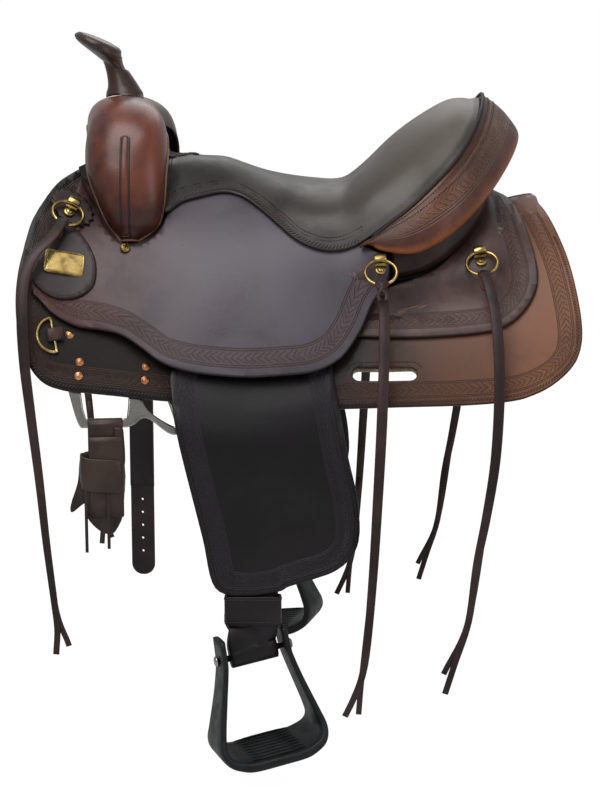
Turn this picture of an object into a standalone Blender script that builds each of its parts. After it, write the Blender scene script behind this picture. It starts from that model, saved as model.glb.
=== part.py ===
"""A Western trail saddle at its real size, in metres.

X runs from the horn to the back of the skirts, the near side is at -Y and Z is up. The origin lies on the
horse's back, on the centre line, half way along the skirts. Leather is laid over one form of the horse's
back: a point of a piece is given by its place along the saddle, its girth (the distance round the horse from
the centre line) and its height over the horse. Near-side pieces are mirrored in Y to make the off side.
"""

import math

import bmesh
import bpy
from mathutils import Matrix, Vector

# The horse's back: each side is an arc that starts with a slope at the centre line
BACK_SLOPE = math.radians(22)
BACK_RADIUS = 0.415
BACK_LOW_X = 0.06
WITHERS_RISE = 0.70
LOIN_RISE = 0.41
BACK_DROP = 0.0025
CREST_WIDTH = 0.12

# Layers over the horse, each with its thickness, and the gap that neighbouring meshes keep
GAP = 0.0008
NARROW_GAP = 0.0006
LAID_GAP = 0.0013
FLEECE = 0.0138
SKIRT = 0.0055
JOCKEY = 0.0045
REAR_JOCKEY = 0.0045
GROUND_SEAT = 0.006
PAD = 0.010
PAD_EDGE = 0.004
PAD_CROWN = 0.05
SKIRT_IN = FLEECE + GAP
SKIRT_OUT = SKIRT_IN + SKIRT
BAR_IN = SKIRT_OUT + GAP

# Size of the facets that leather is laid with; an outline's point this near to a facet's edge moves onto it,
# and a point between two others is left out where the outline runs this straight
CELL = 0.036
FINE_CELL = 0.030
FLEECE_CELL = 0.050
SNAP = 0.0012
STRAIGHT = 0.0003

# Height of the seat and the jockeys over the horse, along the saddle, on four lines of equal girth
LINE_GIRTH = (0.0, 0.10, 0.20, 0.30)
CROWN = ((-0.35, 0.050), (-0.18, 0.052), (-0.137, 0.060), (-0.095, 0.060), (-0.043, 0.052), (0.02, 0.048),
         (0.058, 0.048), (0.078, 0.061), (0.12, 0.102), (0.16, 0.129), (0.20, 0.146), (0.25, 0.150))
THIGH = ((-0.35, 0.0255), (-0.26, 0.030), (-0.18, 0.050), (-0.10, 0.064), (-0.02, 0.072), (0.05, 0.078),
         (0.09, 0.096), (0.14, 0.114), (0.19, 0.134), (0.25, 0.142))
LEG = ((-0.35, 0.0255), (-0.28, 0.027), (-0.20, 0.039), (-0.12, 0.0545), (-0.06, 0.0585), (0.0, 0.0565),
       (0.06, 0.046), (0.10, 0.036), (0.25, 0.030))
HEM = ((-0.35, 0.0262), (-0.28, 0.028), (-0.20, 0.038), (-0.13, 0.047), (-0.06, 0.049), (0.01, 0.047),
       (0.06, 0.038), (0.10, 0.029), (0.25, 0.0265))

# Outlines, as (place along the saddle, girth)
SKIRT_OUTLINE = ((0.300, 0.008), (0.315, 0.039), (0.328, 0.088), (0.340, 0.148), (0.347, 0.203),
                 (0.350, 0.246), (0.347, 0.275), (0.336, 0.296), (0.314, 0.312), (0.288, 0.321),
                 (0.250, 0.324), (0.121, 0.317), (0.0, 0.320), (-0.10, 0.330), (-0.198, 0.350),
                 (-0.252, 0.365), (-0.288, 0.377),
                 (-0.315, 0.379), (-0.335, 0.362), (-0.344, 0.336), (-0.348, 0.301), (-0.347, 0.265),
                 (-0.342, 0.228), (-0.335, 0.184), (-0.323, 0.143), (-0.310, 0.104), (-0.293, 0.071),
                 (-0.281, 0.051), (-0.262, 0.036), (-0.20, 0.030), (0.0, 0.028), (0.20, 0.022))
FLEECE_MARGIN = 0.006
REAR_JOCKEY_OUTLINE = ((0.268, 0.006), (0.281, 0.036), (0.291, 0.083), (0.298, 0.130), (0.300, 0.167),
                       (0.294, 0.193), (0.280, 0.214), (0.260, 0.229), (0.235, 0.235), (0.180, 0.234),
                       (0.116, 0.231), (0.062, 0.226), (0.055, 0.212), (0.066, 0.180), (0.110, 0.168),
                       (0.170, 0.150), (0.215, 0.105), (0.232, 0.060), (0.240, 0.012))
SEAT_JOCKEY_OUTLINE = ((-0.329, 0.275), (-0.318, 0.286), (-0.299, 0.295), (-0.272, 0.296), (-0.245, 0.289),
                       (-0.220, 0.286), (-0.198, 0.292), (-0.168, 0.304), (-0.135, 0.306), (-0.100, 0.303),
                       (-0.061, 0.298), (-0.024, 0.291), (0.018, 0.282), (0.051, 0.262), (0.074, 0.229),
                       (0.090, 0.193), (0.106, 0.176), (0.112, 0.160), (0.106, 0.147), (0.092, 0.141),
                       (0.060, 0.128), (0.014, 0.122), (-0.020, 0.100), (-0.050, 0.074), (-0.080, 0.061),
                       (-0.110, 0.064), (-0.140, 0.078),
                       (-0.158, 0.092), (-0.1690, 0.112), (-0.174, 0.128), (-0.184, 0.146), (-0.200, 0.161),
                       (-0.216, 0.167), (-0.229, 0.164), (-0.246, 0.148), (-0.264, 0.117), (-0.280, 0.088),
                       (-0.288, 0.118), (-0.300, 0.172), (-0.315, 0.222))
SEAT_EDGE = ((-0.176, 0.069), (-0.172, 0.1115), (-0.150, 0.094), (-0.125, 0.083), (-0.099, 0.074),
             (-0.077, 0.075), (-0.055, 0.088), (-0.030, 0.109), (-0.008, 0.128), (0.014, 0.138),
             (0.040, 0.142), (0.074, 0.137), (0.112, 0.122), (0.150, 0.108), (0.194, 0.090),
             (0.222, 0.066), (0.234, 0.036))
SEAT_BACK_X = 0.237
HAND_HOLE = ((-0.178, 0.026), (-0.176, 0.017), (-0.160, 0.0095), (-0.1385, 0.0))
GROUND_SEAT_EDGE = ((-0.158, 0.030), (-0.155, 0.080), (-0.125, 0.076), (-0.077, 0.070), (-0.030, 0.100),
                    (0.010, 0.118), (0.070, 0.122), (0.112, 0.110), (0.150, 0.094), (0.186, 0.076),
                    (0.208, 0.052), (0.216, 0.026))
GROUND_SEAT_BACK_X = 0.218

# Tree
BAR_OUTLINE = ((-0.272, 0.050), (-0.279, 0.080), (-0.272, 0.108), (-0.245, 0.120), (-0.175, 0.122),
               (-0.120, 0.145), (-0.040, 0.158), (0.060, 0.160), (0.150, 0.155), (0.205, 0.130),
               (0.228, 0.095), (0.232, 0.065), (0.222, 0.048), (0.10, 0.044), (-0.10, 0.044))
BAR_CREST_GIRTH = 0.088
BAR_HALF = 0.095
BAR_THICK = 0.021
BAR_EDGE = 0.008
TREE_CANTLE_EDGE = ((0.128, 0.060), (0.140, 0.094), (0.165, 0.084), (0.190, 0.066), (0.207, 0.040))
TREE_CANTLE_BACK_X = 0.210
CANTLE_FOOT = 0.0445
BLOCK_ROOM = 0.0031

# Swell: sections from the foot of the near lobe over to the centre, as
# (gullet side y, gullet side z, middle x, width along x, depth)
SWELL_SECTIONS = ((-0.1437, -0.0135, -0.2145, 0.022, 0.010), (-0.1405, -0.003, -0.2110, 0.044, 0.018),
                  (-0.1375, 0.010, -0.2105, 0.065, 0.026), (-0.1330, 0.036, -0.2135, 0.083, 0.033),
                  (-0.1230, 0.070, -0.2190, 0.098, 0.040), (-0.1050, 0.098, -0.2200, 0.103, 0.044),
                  (-0.0740, 0.118, -0.2220, 0.101, 0.043), (-0.0380, 0.128, -0.2290, 0.096, 0.039),
                  (0.0, 0.131, -0.2320, 0.090, 0.036))
SWELL_LEATHER = 0.004
SWELL_SIDES = 12
WELT_WIDTH = 0.009
WELT_HEIGHT = 0.0035
FORK_FIRST = 2

# Horn: sections of the neck from the foot up, as (x, z, radius), and its tilted cap
NECK_SECTIONS = ((-0.2380, 0.1674, 0.0262), (-0.2395, 0.1760, 0.0222), (-0.2440, 0.1900, 0.0205),
                 (-0.2490, 0.2030, 0.0182))
NECK_SIDES = 18
FOOT_PARTS = (0.3, 0.65)
CAP_CENTRE = (-0.2650, 0.0, 0.2345)
CAP_TILT = math.radians(23)
CAP_LENGTH = 0.066
CAP_WIDTH = 0.070
CAP_PROFILE = ((0.0, 0.0075, 0.0), (0.45, 0.0068, 0.0), (0.80, 0.0048, 0.0), (0.96, 0.0018, 0.0),
               (1.0, -0.0020, 0.0), (0.95, -0.0055, 0.0), (0.74, -0.0085, 0.007), (0.45, -0.0135, 0.0185))
CAP_SIDES = 20

# Cantle roll round the rear of the seat's edge: its outer edge as (x, y, z), from the tip to the centre
ROLL_FIRST = 22
ROLL_GAP = 0.0018
ROLL_EDGE = ((0.086, -0.1780, -0.0095), (0.110, -0.1840, -0.0200), (0.150, -0.1860, -0.0200),
             (0.200, -0.1680, 0.0060), (0.247, -0.1180, 0.0500), (0.280, -0.0590, 0.0950),
             (0.291, 0.0, 0.1170))
ROLL_THICK = 0.026
ROLL_BULGE = 0.007
ROLL_LIP = 0.012
CANTLE_BACK_TOP = 0.001
FOOT_GAP = 0.0012
CANTLE_BACK_FOOT = ((0.118, 0.158), (0.156, 0.152), (0.200, 0.128), (0.234, 0.086), (0.247, 0.044),
                    (0.249, 0.0))
CANTLE_BACK_LEATHER = 0.0045

# Leathers swing about a hinge at the bar. Their faces are surfaces of revolution about it, so that they
# swing along themselves between the skirt and the jockey: the line gives, for the distance from the hinge's
# axis, how far out along the axis the leather's inner face lies. The axis rises outwards and turns a little
# to the rear
HINGE = (-0.058, -0.147, -0.020)
HINGE_RISE = math.radians(28)
HINGE_TURN = math.radians(6)
SWING_LINE = ((0.0, -0.0143), (0.030, -0.0076), (0.060, 0.0010), (0.090, 0.0028), (0.120, 0.0032),
              (0.140, 0.0030), (0.160, 0.0032), (0.180, 0.0042), (0.200, 0.0060), (0.230, 0.0085),
              (0.262, 0.0045), (0.300, -0.0135), (0.350, -0.0435), (0.500, -0.1230), (0.620, -0.1875))
LEATHER = 0.0042
FENDER = 0.0045
LEATHER_WIDTH = 0.062
LEATHER_TOP_Z = -0.020
LEATHER_LOW_Z = -0.478
LEATHER_LAP = 0.004
FENDER_OUTLINE = ((-0.098, -0.066), (-0.100, -0.092), (-0.128, -0.128), (-0.157, -0.160), (-0.156, -0.194),
                  (-0.149, -0.236), (-0.134, -0.301), (-0.119, -0.364), (-0.104, -0.426), (-0.064, -0.436),
                  (-0.026, -0.432), (-0.013, -0.426), (0.017, -0.418), (0.042, -0.410), (0.060, -0.397),
                  (0.071, -0.379), (0.074, -0.354), (0.070, -0.314), (0.059, -0.265), (0.051, -0.222),
                  (0.043, -0.180), (0.034, -0.140), (0.010, -0.105), (-0.016, -0.088), (-0.018, -0.066))
HOBBLE_TOP_Z = -0.437
HOBBLE_HEIGHT = 0.036
HOBBLE_LEATHER = 0.003
HOBBLE_ROOM = 0.0012

# Stirrup, in its own frame: across, deep and up, measured from its bolt
STIRRUP_YAW = math.radians(18)
STIRRUP_LEAN = math.radians(9)
BOLT_Z = -0.510
BOLT_RADIUS = 0.004
BOLT_ROOM = 0.0005
BOLT_SIDES = 10
HEAD_HALF = 0.0405
STIRRUP_SECTIONS = ((-0.0400, 0.026, 0.038, 0.008), (-0.0410, 0.000, 0.042, 0.008),
                    (-0.0430, -0.014, 0.042, 0.008), (-0.0505, -0.045, 0.046, 0.0085),
                    (-0.0610, -0.084, 0.060, 0.0095), (-0.0650, -0.105, 0.074, 0.011),
                    (-0.0590, -0.119, 0.090, 0.013), (-0.044, -0.1262, 0.098, 0.015),
                    (-0.030, -0.1285, 0.102, 0.0155), (0.0, -0.1285, 0.104, 0.0155))
EYE_THICK = 0.020
EYE_HEIGHT = 0.024

# Rigging plate behind the skirt, as (place along the saddle, z); its two loops hang below the skirt
PLATE = 0.003
PLATE_IN = SKIRT_IN - LAID_GAP - PLATE
PLATE_OUTLINE = ((-0.294, -0.112), (-0.270, -0.104), (-0.225, -0.110), (-0.184, -0.122),
                 (-0.175, -0.150), (-0.162, -0.184), (-0.1435, -0.226), (-0.148, -0.238),
                 (-0.161, -0.238), (-0.188, -0.2195), (-0.203, -0.2270), (-0.214, -0.2300),
                 (-0.238, -0.2300), (-0.261, -0.2300), (-0.271, -0.2240), (-0.284, -0.182),
                 (-0.295, -0.140))
FRONT_LOOP = ((-0.270, -0.184), (-0.240, -0.182), (-0.211, -0.187), (-0.2085, -0.202), (-0.2125, -0.2235),
              (-0.238, -0.2235), (-0.261, -0.2235), (-0.2665, -0.208))
REAR_LOOP = ((-0.198, -0.187), (-0.182, -0.184), (-0.1665, -0.189), (-0.1515, -0.226), (-0.158, -0.2305),
             (-0.187, -0.2115))
PLATE_TOP_Z = -0.100
ROD_MIDDLE = 0.5 * (FRONT_LOOP[5][1] + PLATE_OUTLINE[12][1])
ROD_HALF = 0.5 * (FRONT_LOOP[5][1] - PLATE_OUTLINE[12][1])
ROD_ENDS = (-0.260, -0.216)
PLATE_ROOM = 0.004
RIVETS = ((-0.282, 0.308), (-0.269, 0.335), (-0.270, 0.352), (-0.189, 0.309), (-0.190, 0.326))
RIVET_RADIUS = 0.0042
RIVET_STEM = 0.0022
RIVET_HEAD = 0.0016
RIVET_SIDES = 8
FLANK_SLOT = ((0.073, 0.275), (0.137, 0.277))
FLANK_SLOT_HALF = 0.009

# Rings with their clips, as (place along, girth, height of the ring over the leather under it)
WIRE_SIDES = 6
RING_STEPS = 20
RING_RADIUS = 0.0195
RING_WIRE = 0.0021
RING_PLACES = {"front": (-0.287, 0.140), "middle": (0.100, 0.157), "rear": (0.227, 0.138)}
CLIP_SEAT = {"front": 0.0014, "middle": 0.0056, "rear": -0.0006}
CLIP_WIDTH = 0.012
CLIP_HEIGHT = 0.020
CLIP_THICK = 0.0098
CLIP_ROOM = 0.0012
RING_STAND = 0.0052
ROSETTE_RADIUS = 0.026
ROSETTE = 0.003
ROSETTE_SCALLOPS = 16
ROSETTE_DEPTH = 0.0014

# Leather tag on the front of the near jockey, as (place along, girth)
TAG_OUTLINE = ((-0.272, 0.176), (-0.259, 0.192), (-0.252, 0.212), (-0.254, 0.237), (-0.268, 0.257),
               (-0.285, 0.269), (-0.302, 0.275), (-0.320, 0.272), (-0.331, 0.262), (-0.327, 0.243),
               (-0.317, 0.222), (-0.308, 0.200), (-0.297, 0.176), (-0.285, 0.170))
TAG = 0.0028
SCREW_PLACE = (-0.2185, 0.1735)
SCREW_RADIUS = 0.0068
SCREW_HEIGHT = 0.003

# Breast-collar dee at the front of the skirt: its straight bar is the hinge
DEE_TOP = (-0.305, 0.300)
DEE_FOOT = (-0.296, 0.336)
DEE_REACH = 0.020
DEE_WIRE = 0.0019
DEE_STAND = 0.0042
KEEPER_LONG = 0.016
KEEPER_BEHIND = 0.0035
KEEPER_WIDTH = 0.016
KEEPER_THICK = 0.0086
KEEPER_ROOM = 0.0007

# Latigo in its keeper, and the off billet; both hang from the front loop's lower rod
LATIGO_WIDTH = 0.044
LATIGO_THICK = 0.026
LATIGO_DROP = 0.118
LATIGO_TOP = 0.0135
BILLET_WIDTH = 0.036
BILLET_THICK = 0.013
BILLET_TOP = 0.010
BILLET_LEATHER = 0.005
BILLET_DROP = 0.330
ROD_ROOM = 0.0012

# Saddle strings: routes as (x, y, z), each a doubled leather lace with a second, shorter end
STRING_WIDTH = 0.0135
STRING_THICK = 0.0055
STRING_LIFT = {"front": 0.0024, "middle": 0.0011, "rear": 0.0009}
STRING_END_WIDTH = 0.008
STRING_END_THICK = 0.003
STRING_ROUTES = {
    "front": ((-0.305, -0.2095, -0.001), (-0.324, -0.2330, -0.021),
              (-0.3345, -0.2500, -0.050), (-0.3360, -0.2640, -0.095), (-0.3330, -0.2720, -0.150),
              (-0.3260, -0.2760, -0.215), (-0.3180, -0.2770, -0.290), (-0.3110, -0.2770, -0.370),
              (-0.3030, -0.2770, -0.445), (-0.3000, -0.2770, -0.480), (-0.3020, -0.2770, -0.512)),
    "middle": ((0.1035, -0.2270, -0.095), (0.103, -0.2450, -0.140),
               (0.101, -0.2620, -0.190), (0.099, -0.2700, -0.240), (0.095, -0.2750, -0.320),
               (0.090, -0.2780, -0.410), (0.083, -0.2790, -0.500), (0.077, -0.2790, -0.540),
               (0.067, -0.2790, -0.568), (0.056, -0.2790, -0.592)),
    "rear": ((0.2345, -0.2080, -0.065), (0.240, -0.2260, -0.095),
             (0.2430, -0.2450, -0.140), (0.2430, -0.2600, -0.195), (0.2390, -0.2660, -0.270),
             (0.2290, -0.2680, -0.340), (0.2180, -0.2690, -0.400), (0.2090, -0.2690, -0.472),
             (0.1930, -0.2690, -0.526), (0.1810, -0.2690, -0.566)),
}
STRING_FORKS = {"front": (-0.286, -0.2770, -0.502), "middle": (0.073, -0.2790, -0.590),
                "rear": (0.1790, -0.2690, -0.541)}
FORK_FROM = 3

# Colours as (red, green, blue), roughness, metallic
FINISHES = {
    "dark_brown": ((0.055, 0.030, 0.026), 0.38, 0.0),
    "red_brown": ((0.085, 0.028, 0.018), 0.32, 0.0),
    "tan_brown": ((0.130, 0.050, 0.024), 0.38, 0.0),
    "seat_black": ((0.028, 0.026, 0.022), 0.40, 0.0),
    "fender_black": ((0.018, 0.014, 0.016), 0.45, 0.0),
    "lace_brown": ((0.030, 0.016, 0.014), 0.50, 0.0),
    "fleece": ((0.62, 0.55, 0.42), 0.95, 0.0),
    "tree_wood": ((0.42, 0.27, 0.14), 0.70, 0.0),
    "moulded_black": ((0.010, 0.011, 0.012), 0.42, 0.0),
    "steel": ((0.55, 0.55, 0.52), 0.28, 1.0),
    "brass": ((0.62, 0.44, 0.16), 0.26, 1.0),
}


def girth_at(x, z, height):
    """Girth at which the near side reaches that z."""
    low, high = 0.0, 0.6
    for _ in range(40):
        middle = (low + high) / 2
        if on_horse(x, middle, height).z > z:
            low = middle
        else:
            high = middle
    return low


def curve_value(points, x):
    """Height of a smooth line through (x, value) points."""
    x = min(max(x, points[0][0]), points[-1][0])
    i = 0
    while i < len(points) - 2 and x > points[i + 1][0]:
        i += 1

    def slope(k):
        a, b = points[max(k - 1, 0)], points[min(k + 1, len(points) - 1)]
        return (b[1] - a[1]) / (b[0] - a[0])

    (x0, y0), (x1, y1) = points[i], points[i + 1]
    run = x1 - x0
    t = (x - x0) / run
    return ((1 + 2 * t) * (1 - t) ** 2 * y0 + t * (1 - t) ** 2 * run * slope(i)
            + t * t * (3 - 2 * t) * y1 + t * t * (t - 1) * run * slope(i + 1))


def smooth_path(points, steps, closed=False):
    """A smooth line through points of any dimension, with steps short stretches between two points."""
    points = [Vector(p) for p in points]
    count = len(points)
    path = []
    for i in range(count if closed else count - 1):
        if closed:
            a, b, c, d = (points[(i + k) % count] for k in (-1, 0, 1, 2))
        else:
            b, c = points[i], points[i + 1]
            a = points[i - 1] if i else b + (b - c)
            d = points[i + 2] if i + 2 < count else c + (c - b)
        for k in range(steps):
            t = k / steps
            path.append(0.5 * (2 * b + (c - a) * t + (2 * a - 5 * b + 4 * c - d) * t * t
                               + (3 * b - a - 3 * c + d) * t ** 3))
    if not closed:
        path.append(points[-1])
    return path


def smooth_step(t):
    t = min(max(t, 0.0), 1.0)
    return t * t * (3 - 2 * t)


def back_line(x):
    """Height of the horse's back on the centre line."""
    rise = WITHERS_RISE if x < BACK_LOW_X else LOIN_RISE
    return rise * (x - BACK_LOW_X) ** 2 - BACK_DROP


def on_horse(x, girth, height):
    """The point at that place along and round the horse, at that height; girth below 0 is the off side."""
    side = -1 if girth >= 0 else 1
    reach = abs(girth)
    slope = BACK_SLOPE + reach / BACK_RADIUS
    lean = slope * smooth_step(reach / CREST_WIDTH)
    y = BACK_RADIUS * (math.sin(slope) - math.sin(BACK_SLOPE)) + height * math.sin(lean)
    z = back_line(x) - BACK_RADIUS * (math.cos(BACK_SLOPE) - math.cos(slope)) + height * math.cos(lean)
    return Vector((x, side * y, z))


def seat_form(x, girth):
    """Height over the horse of the jockeys' outer face, and of the same form under the padded seat."""
    line = [curve_value(points, x) for points in (CROWN, THIGH, LEG, HEM)]
    reach = min(abs(girth), LINE_GIRTH[-1])
    step = LINE_GIRTH[1]
    slopes = (math.sin(BACK_SLOPE), (line[2] - line[0]) / (2 * step), (line[3] - line[1]) / (2 * step), 0.0)
    i = min(int(reach / step), 2)
    t = reach / step - i
    return ((1 + 2 * t) * (1 - t) ** 2 * line[i] + t * (1 - t) ** 2 * step * slopes[i]
            + t * t * (3 - 2 * t) * line[i + 1] + t * t * (t - 1) * step * slopes[i + 1])


def bar_thick(girth):
    """Thickness of the tree's bars: full along their middle, feathered at their edges."""
    return BAR_EDGE + (BAR_THICK - BAR_EDGE) * max(0.0, 1 - ((abs(girth) - BAR_CREST_GIRTH) / BAR_HALF) ** 2)


def bar_top(x, girth):
    """Height over the horse of the tree's bars, which stay under the ground seat."""
    return min(BAR_IN + bar_thick(girth), seat_form(x, girth) - JOCKEY - GROUND_SEAT - 3 * LAID_GAP)


def rear_jockey_in(x, girth):
    """Height of the rear jockey's inner face: on the skirt, and lifted over the end of the bar."""
    near_bar = smooth_step((0.272 - x) / 0.030) * smooth_step((0.200 - abs(girth)) / 0.040)
    return SKIRT_OUT + GAP + near_bar * (bar_thick(girth) + 2 * LAID_GAP)


def hinge_axis():
    """Direction of the near leather's hinge, outwards."""
    level = math.cos(HINGE_RISE)
    return Vector((math.sin(HINGE_TURN) * level, -math.cos(HINGE_TURN) * level, math.sin(HINGE_RISE)))


def hanging(x, z, depth):
    """The point at that place in side view that lies depth outside the leathers' inner face, near side."""
    axis = hinge_axis()
    near, far = 0.08, 0.42
    for _ in range(40):
        middle = (near + far) / 2
        reach = Vector((x, -middle, z)) - Vector(HINGE)
        along = reach.dot(axis)
        if along > curve_value(SWING_LINE, (reach - along * axis).length) + depth:
            far = middle
        else:
            near = middle
    return Vector((x, -near, z))


def finish(obj, material):
    """Gives an object its material and smooth shading."""
    if material not in bpy.data.materials:
        colour, roughness, metallic = FINISHES[material]
        made = bpy.data.materials.new(material)
        made.use_nodes = True
        shader = made.node_tree.nodes["Principled BSDF"]
        shader.inputs["Base Color"].default_value = (*colour, 1.0)
        shader.inputs["Roughness"].default_value = roughness
        shader.inputs["Metallic"].default_value = metallic
    obj.data.materials.append(bpy.data.materials[material])
    obj.data.shade_smooth()
    obj.data.set_sharp_from_angle(angle=math.radians(35))
    return obj


def add_object(name, mesh_data, material, pivot=(0, 0, 0)):
    """Turns a bmesh into a named object whose origin is at pivot."""
    bmesh.ops.recalc_face_normals(mesh_data, faces=mesh_data.faces)
    bmesh.ops.translate(mesh_data, verts=mesh_data.verts, vec=-Vector(pivot))
    mesh = bpy.data.meshes.new(name)
    mesh_data.to_mesh(mesh)
    mesh_data.free()
    obj = bpy.data.objects.new(name, mesh)
    obj.location = pivot
    bpy.context.collection.objects.link(obj)
    return finish(obj, material)


def mirrored(obj, name):
    """A copy of an object on the other side of the centre line."""
    mesh = obj.data.copy()
    mesh.transform(Matrix.Scale(-1, 4, (0, 1, 0)))
    mesh.flip_normals()
    twin = bpy.data.objects.new(name, mesh)
    twin.location = (obj.location.x, -obj.location.y, obj.location.z)
    bpy.context.collection.objects.link(twin)
    return twin


def both_sides(obj):
    """Makes the off-side twin of a near-side object."""
    return obj, mirrored(obj, obj.name.replace("_left", "_right"))


def combine(obj, other, operation):
    """Cuts other out of obj, or joins it to obj, and removes other."""
    modifier = obj.modifiers.new(operation.lower(), "BOOLEAN")
    modifier.operation = operation
    modifier.solver = "EXACT"
    modifier.object = other
    bpy.context.view_layer.update()
    graph = bpy.context.evaluated_depsgraph_get()
    mesh = bpy.data.meshes.new_from_object(obj.evaluated_get(graph))
    obj.modifiers.clear()
    obj.data = mesh
    bpy.data.objects.remove(other)
    return obj


def flat_panel(outline, cell):
    """A flat bmesh of an outline, cut into cells along both directions."""
    panel = bmesh.new()
    panel.faces.new([panel.verts.new((p[0], p[1], 0)) for p in outline])
    for axis in (0, 1):
        for vert in panel.verts:
            line = round(vert.co[axis] / cell) * cell
            if abs(vert.co[axis] - line) < SNAP:
                vert.co[axis] = line
        low = min(p[axis] for p in outline)
        high = max(p[axis] for p in outline)
        normal = (1, 0, 0) if axis == 0 else (0, 1, 0)
        for k in range(math.floor(low / cell), math.ceil(high / cell) + 1):
            place = [0, 0, 0]
            place[axis] = k * cell
            bmesh.ops.bisect_plane(panel, geom=panel.verts[:] + panel.edges[:] + panel.faces[:],
                                   plane_co=place, plane_no=normal, dist=1e-6)
    bmesh.ops.remove_doubles(panel, verts=panel.verts, dist=0.0001)
    bmesh.ops.triangulate(panel, faces=[f for f in panel.faces if len(f.verts) > 4])
    return panel


def laid_panel(outline, cell, surface, low, high):
    """A closed bmesh: the outline laid on a surface, from the height low to the height high over it.

    surface(a, b, height) gives a point, and low and high are heights or functions of (a, b).
    """
    flat = flat_panel(outline, cell)
    made = bmesh.new()

    def height(value, co):
        return value(co.x, co.y) if callable(value) else value

    sheets = []
    for value in (high, low):
        sheets.append({v: made.verts.new(surface(v.co.x, v.co.y, height(value, v.co))) for v in flat.verts})
    for face in flat.faces:
        made.faces.new([sheets[0][v] for v in face.verts])
        made.faces.new([sheets[1][v] for v in reversed(face.verts)])
    for edge in flat.edges:
        if edge.is_boundary:
            a, b = edge.verts
            made.faces.new([sheets[0][a], sheets[0][b], sheets[1][b], sheets[1][a]])
    flat.free()
    return made


def tube_rings(rings, closed=False):
    """A closed bmesh from rings of points, with caps unless it closes on itself."""
    made = bmesh.new()
    loops = [[made.verts.new(p) for p in ring] for ring in rings]
    count = len(loops)
    for i in range(count if closed else count - 1):
        first, second = loops[i], loops[(i + 1) % count]
        size = len(first)
        for k in range(size):
            made.faces.new([first[k], first[(k + 1) % size], second[(k + 1) % size], second[k]])
    if not closed:
        made.faces.new(list(reversed(loops[0])))
        made.faces.new(loops[-1])
    return made


def strap_rings(route, widths, thicks, across):
    """Rectangular sections along a route; across(i) is the direction of the strap's width."""
    rings = []
    for i, place in enumerate(route):
        along = (route[min(i + 1, len(route) - 1)] - route[max(i - 1, 0)]).normalized()
        side = across(i)
        side = (side - side.dot(along) * along).normalized()
        face = along.cross(side).normalized()
        w, t = side * widths[i] / 2, face * thicks[i] / 2
        rings.append([place + w + t, place - w + t, place - w - t, place + w - t])
    return rings


def rod(name, start, end, radius, sides=16, material="steel"):
    """A straight round bar between two points."""
    start, end = Vector(start), Vector(end)
    made = bmesh.new()
    bmesh.ops.create_cone(made, cap_ends=True, segments=sides, radius1=radius, radius2=radius,
                          depth=(end - start).length)
    turn = (end - start).to_track_quat("Z", "Y").to_matrix().to_4x4()
    bmesh.ops.transform(made, matrix=Matrix.Translation((start + end) / 2) @ turn, verts=made.verts)
    return add_object(name, made, material)


def surface_frame(x, girth, height):
    """Point on the near side with the directions along the saddle, down the girth and out."""
    place = on_horse(x, girth, height)
    ahead = (on_horse(x + 0.002, girth, height) - place).normalized()
    down = (on_horse(x, girth + 0.002, height) - place).normalized()
    down = (down - down.dot(ahead) * ahead).normalized()
    out = ahead.cross(down)
    if out.y > 0:
        out = -out
    return place, ahead, down, out


def framed(frame):
    """Matrix that sets local X, Y and Z on the frame's ahead, down and out."""
    place, ahead, down, out = frame
    matrix = Matrix((ahead, down, out)).transposed().to_4x4()
    return Matrix.Translation(place) @ matrix


def box_mesh(size, centre, matrix, bevel=0.0):
    """A bmesh box of that size, set by a matrix."""
    made = bmesh.new()
    bmesh.ops.create_cube(made, size=1.0, matrix=Matrix.Translation(centre) @ Matrix.Diagonal((*size, 1)))
    if bevel:
        bmesh.ops.bevel(made, geom=made.edges[:], offset=bevel, segments=1, affect="EDGES", profile=0.5)
    bmesh.ops.transform(made, matrix=matrix, verts=made.verts)
    return made


def ring_mesh(radius, wire, turns, sides, matrix):
    """A bmesh torus in the matrix's X-Y plane."""
    rings = []
    for i in range(turns):
        angle = math.tau * i / turns
        ray = Vector((math.cos(angle), math.sin(angle), 0))
        ring = []
        for k in range(sides):
            turn = math.tau * k / sides
            reach = ray * (radius + wire * math.cos(turn))
            ring.append(matrix @ (reach + Vector((0, 0, wire * math.sin(turn)))))
        rings.append(ring)
    return tube_rings(rings, closed=True)


def closed_outline(points):
    """A smooth closed outline through the points, with one more between two of them where it bends."""
    path = smooth_path([(a, b, 0) for a, b in points], 2, closed=True)
    kept = []
    for i, point in enumerate(path):
        chord = path[(i + 1) % len(path)] - path[i - 1]
        if i % 2 == 0 or chord.cross(point - path[i - 1]).length > STRAIGHT * chord.length:
            kept.append((point.x, point.y))
    return kept


def slot_cutter(grow, low, high):
    """Cutter for the flank strap's slot through a layer that lies between two heights."""
    (x0, g0), (x1, g1) = FLANK_SLOT
    radius = FLANK_SLOT_HALF + grow
    ends = []
    for x, g, first in ((x1, g1, -90), (x0, g0, 90)):
        for k in range(5):
            angle = math.radians(first + 45 * k)
            ends.append((x + radius * math.cos(angle), g + radius * math.sin(angle)))
    return add_object("slot_cutter", laid_panel(ends, 0.1, on_horse, low - 0.004, high + 0.004), "steel")


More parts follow.
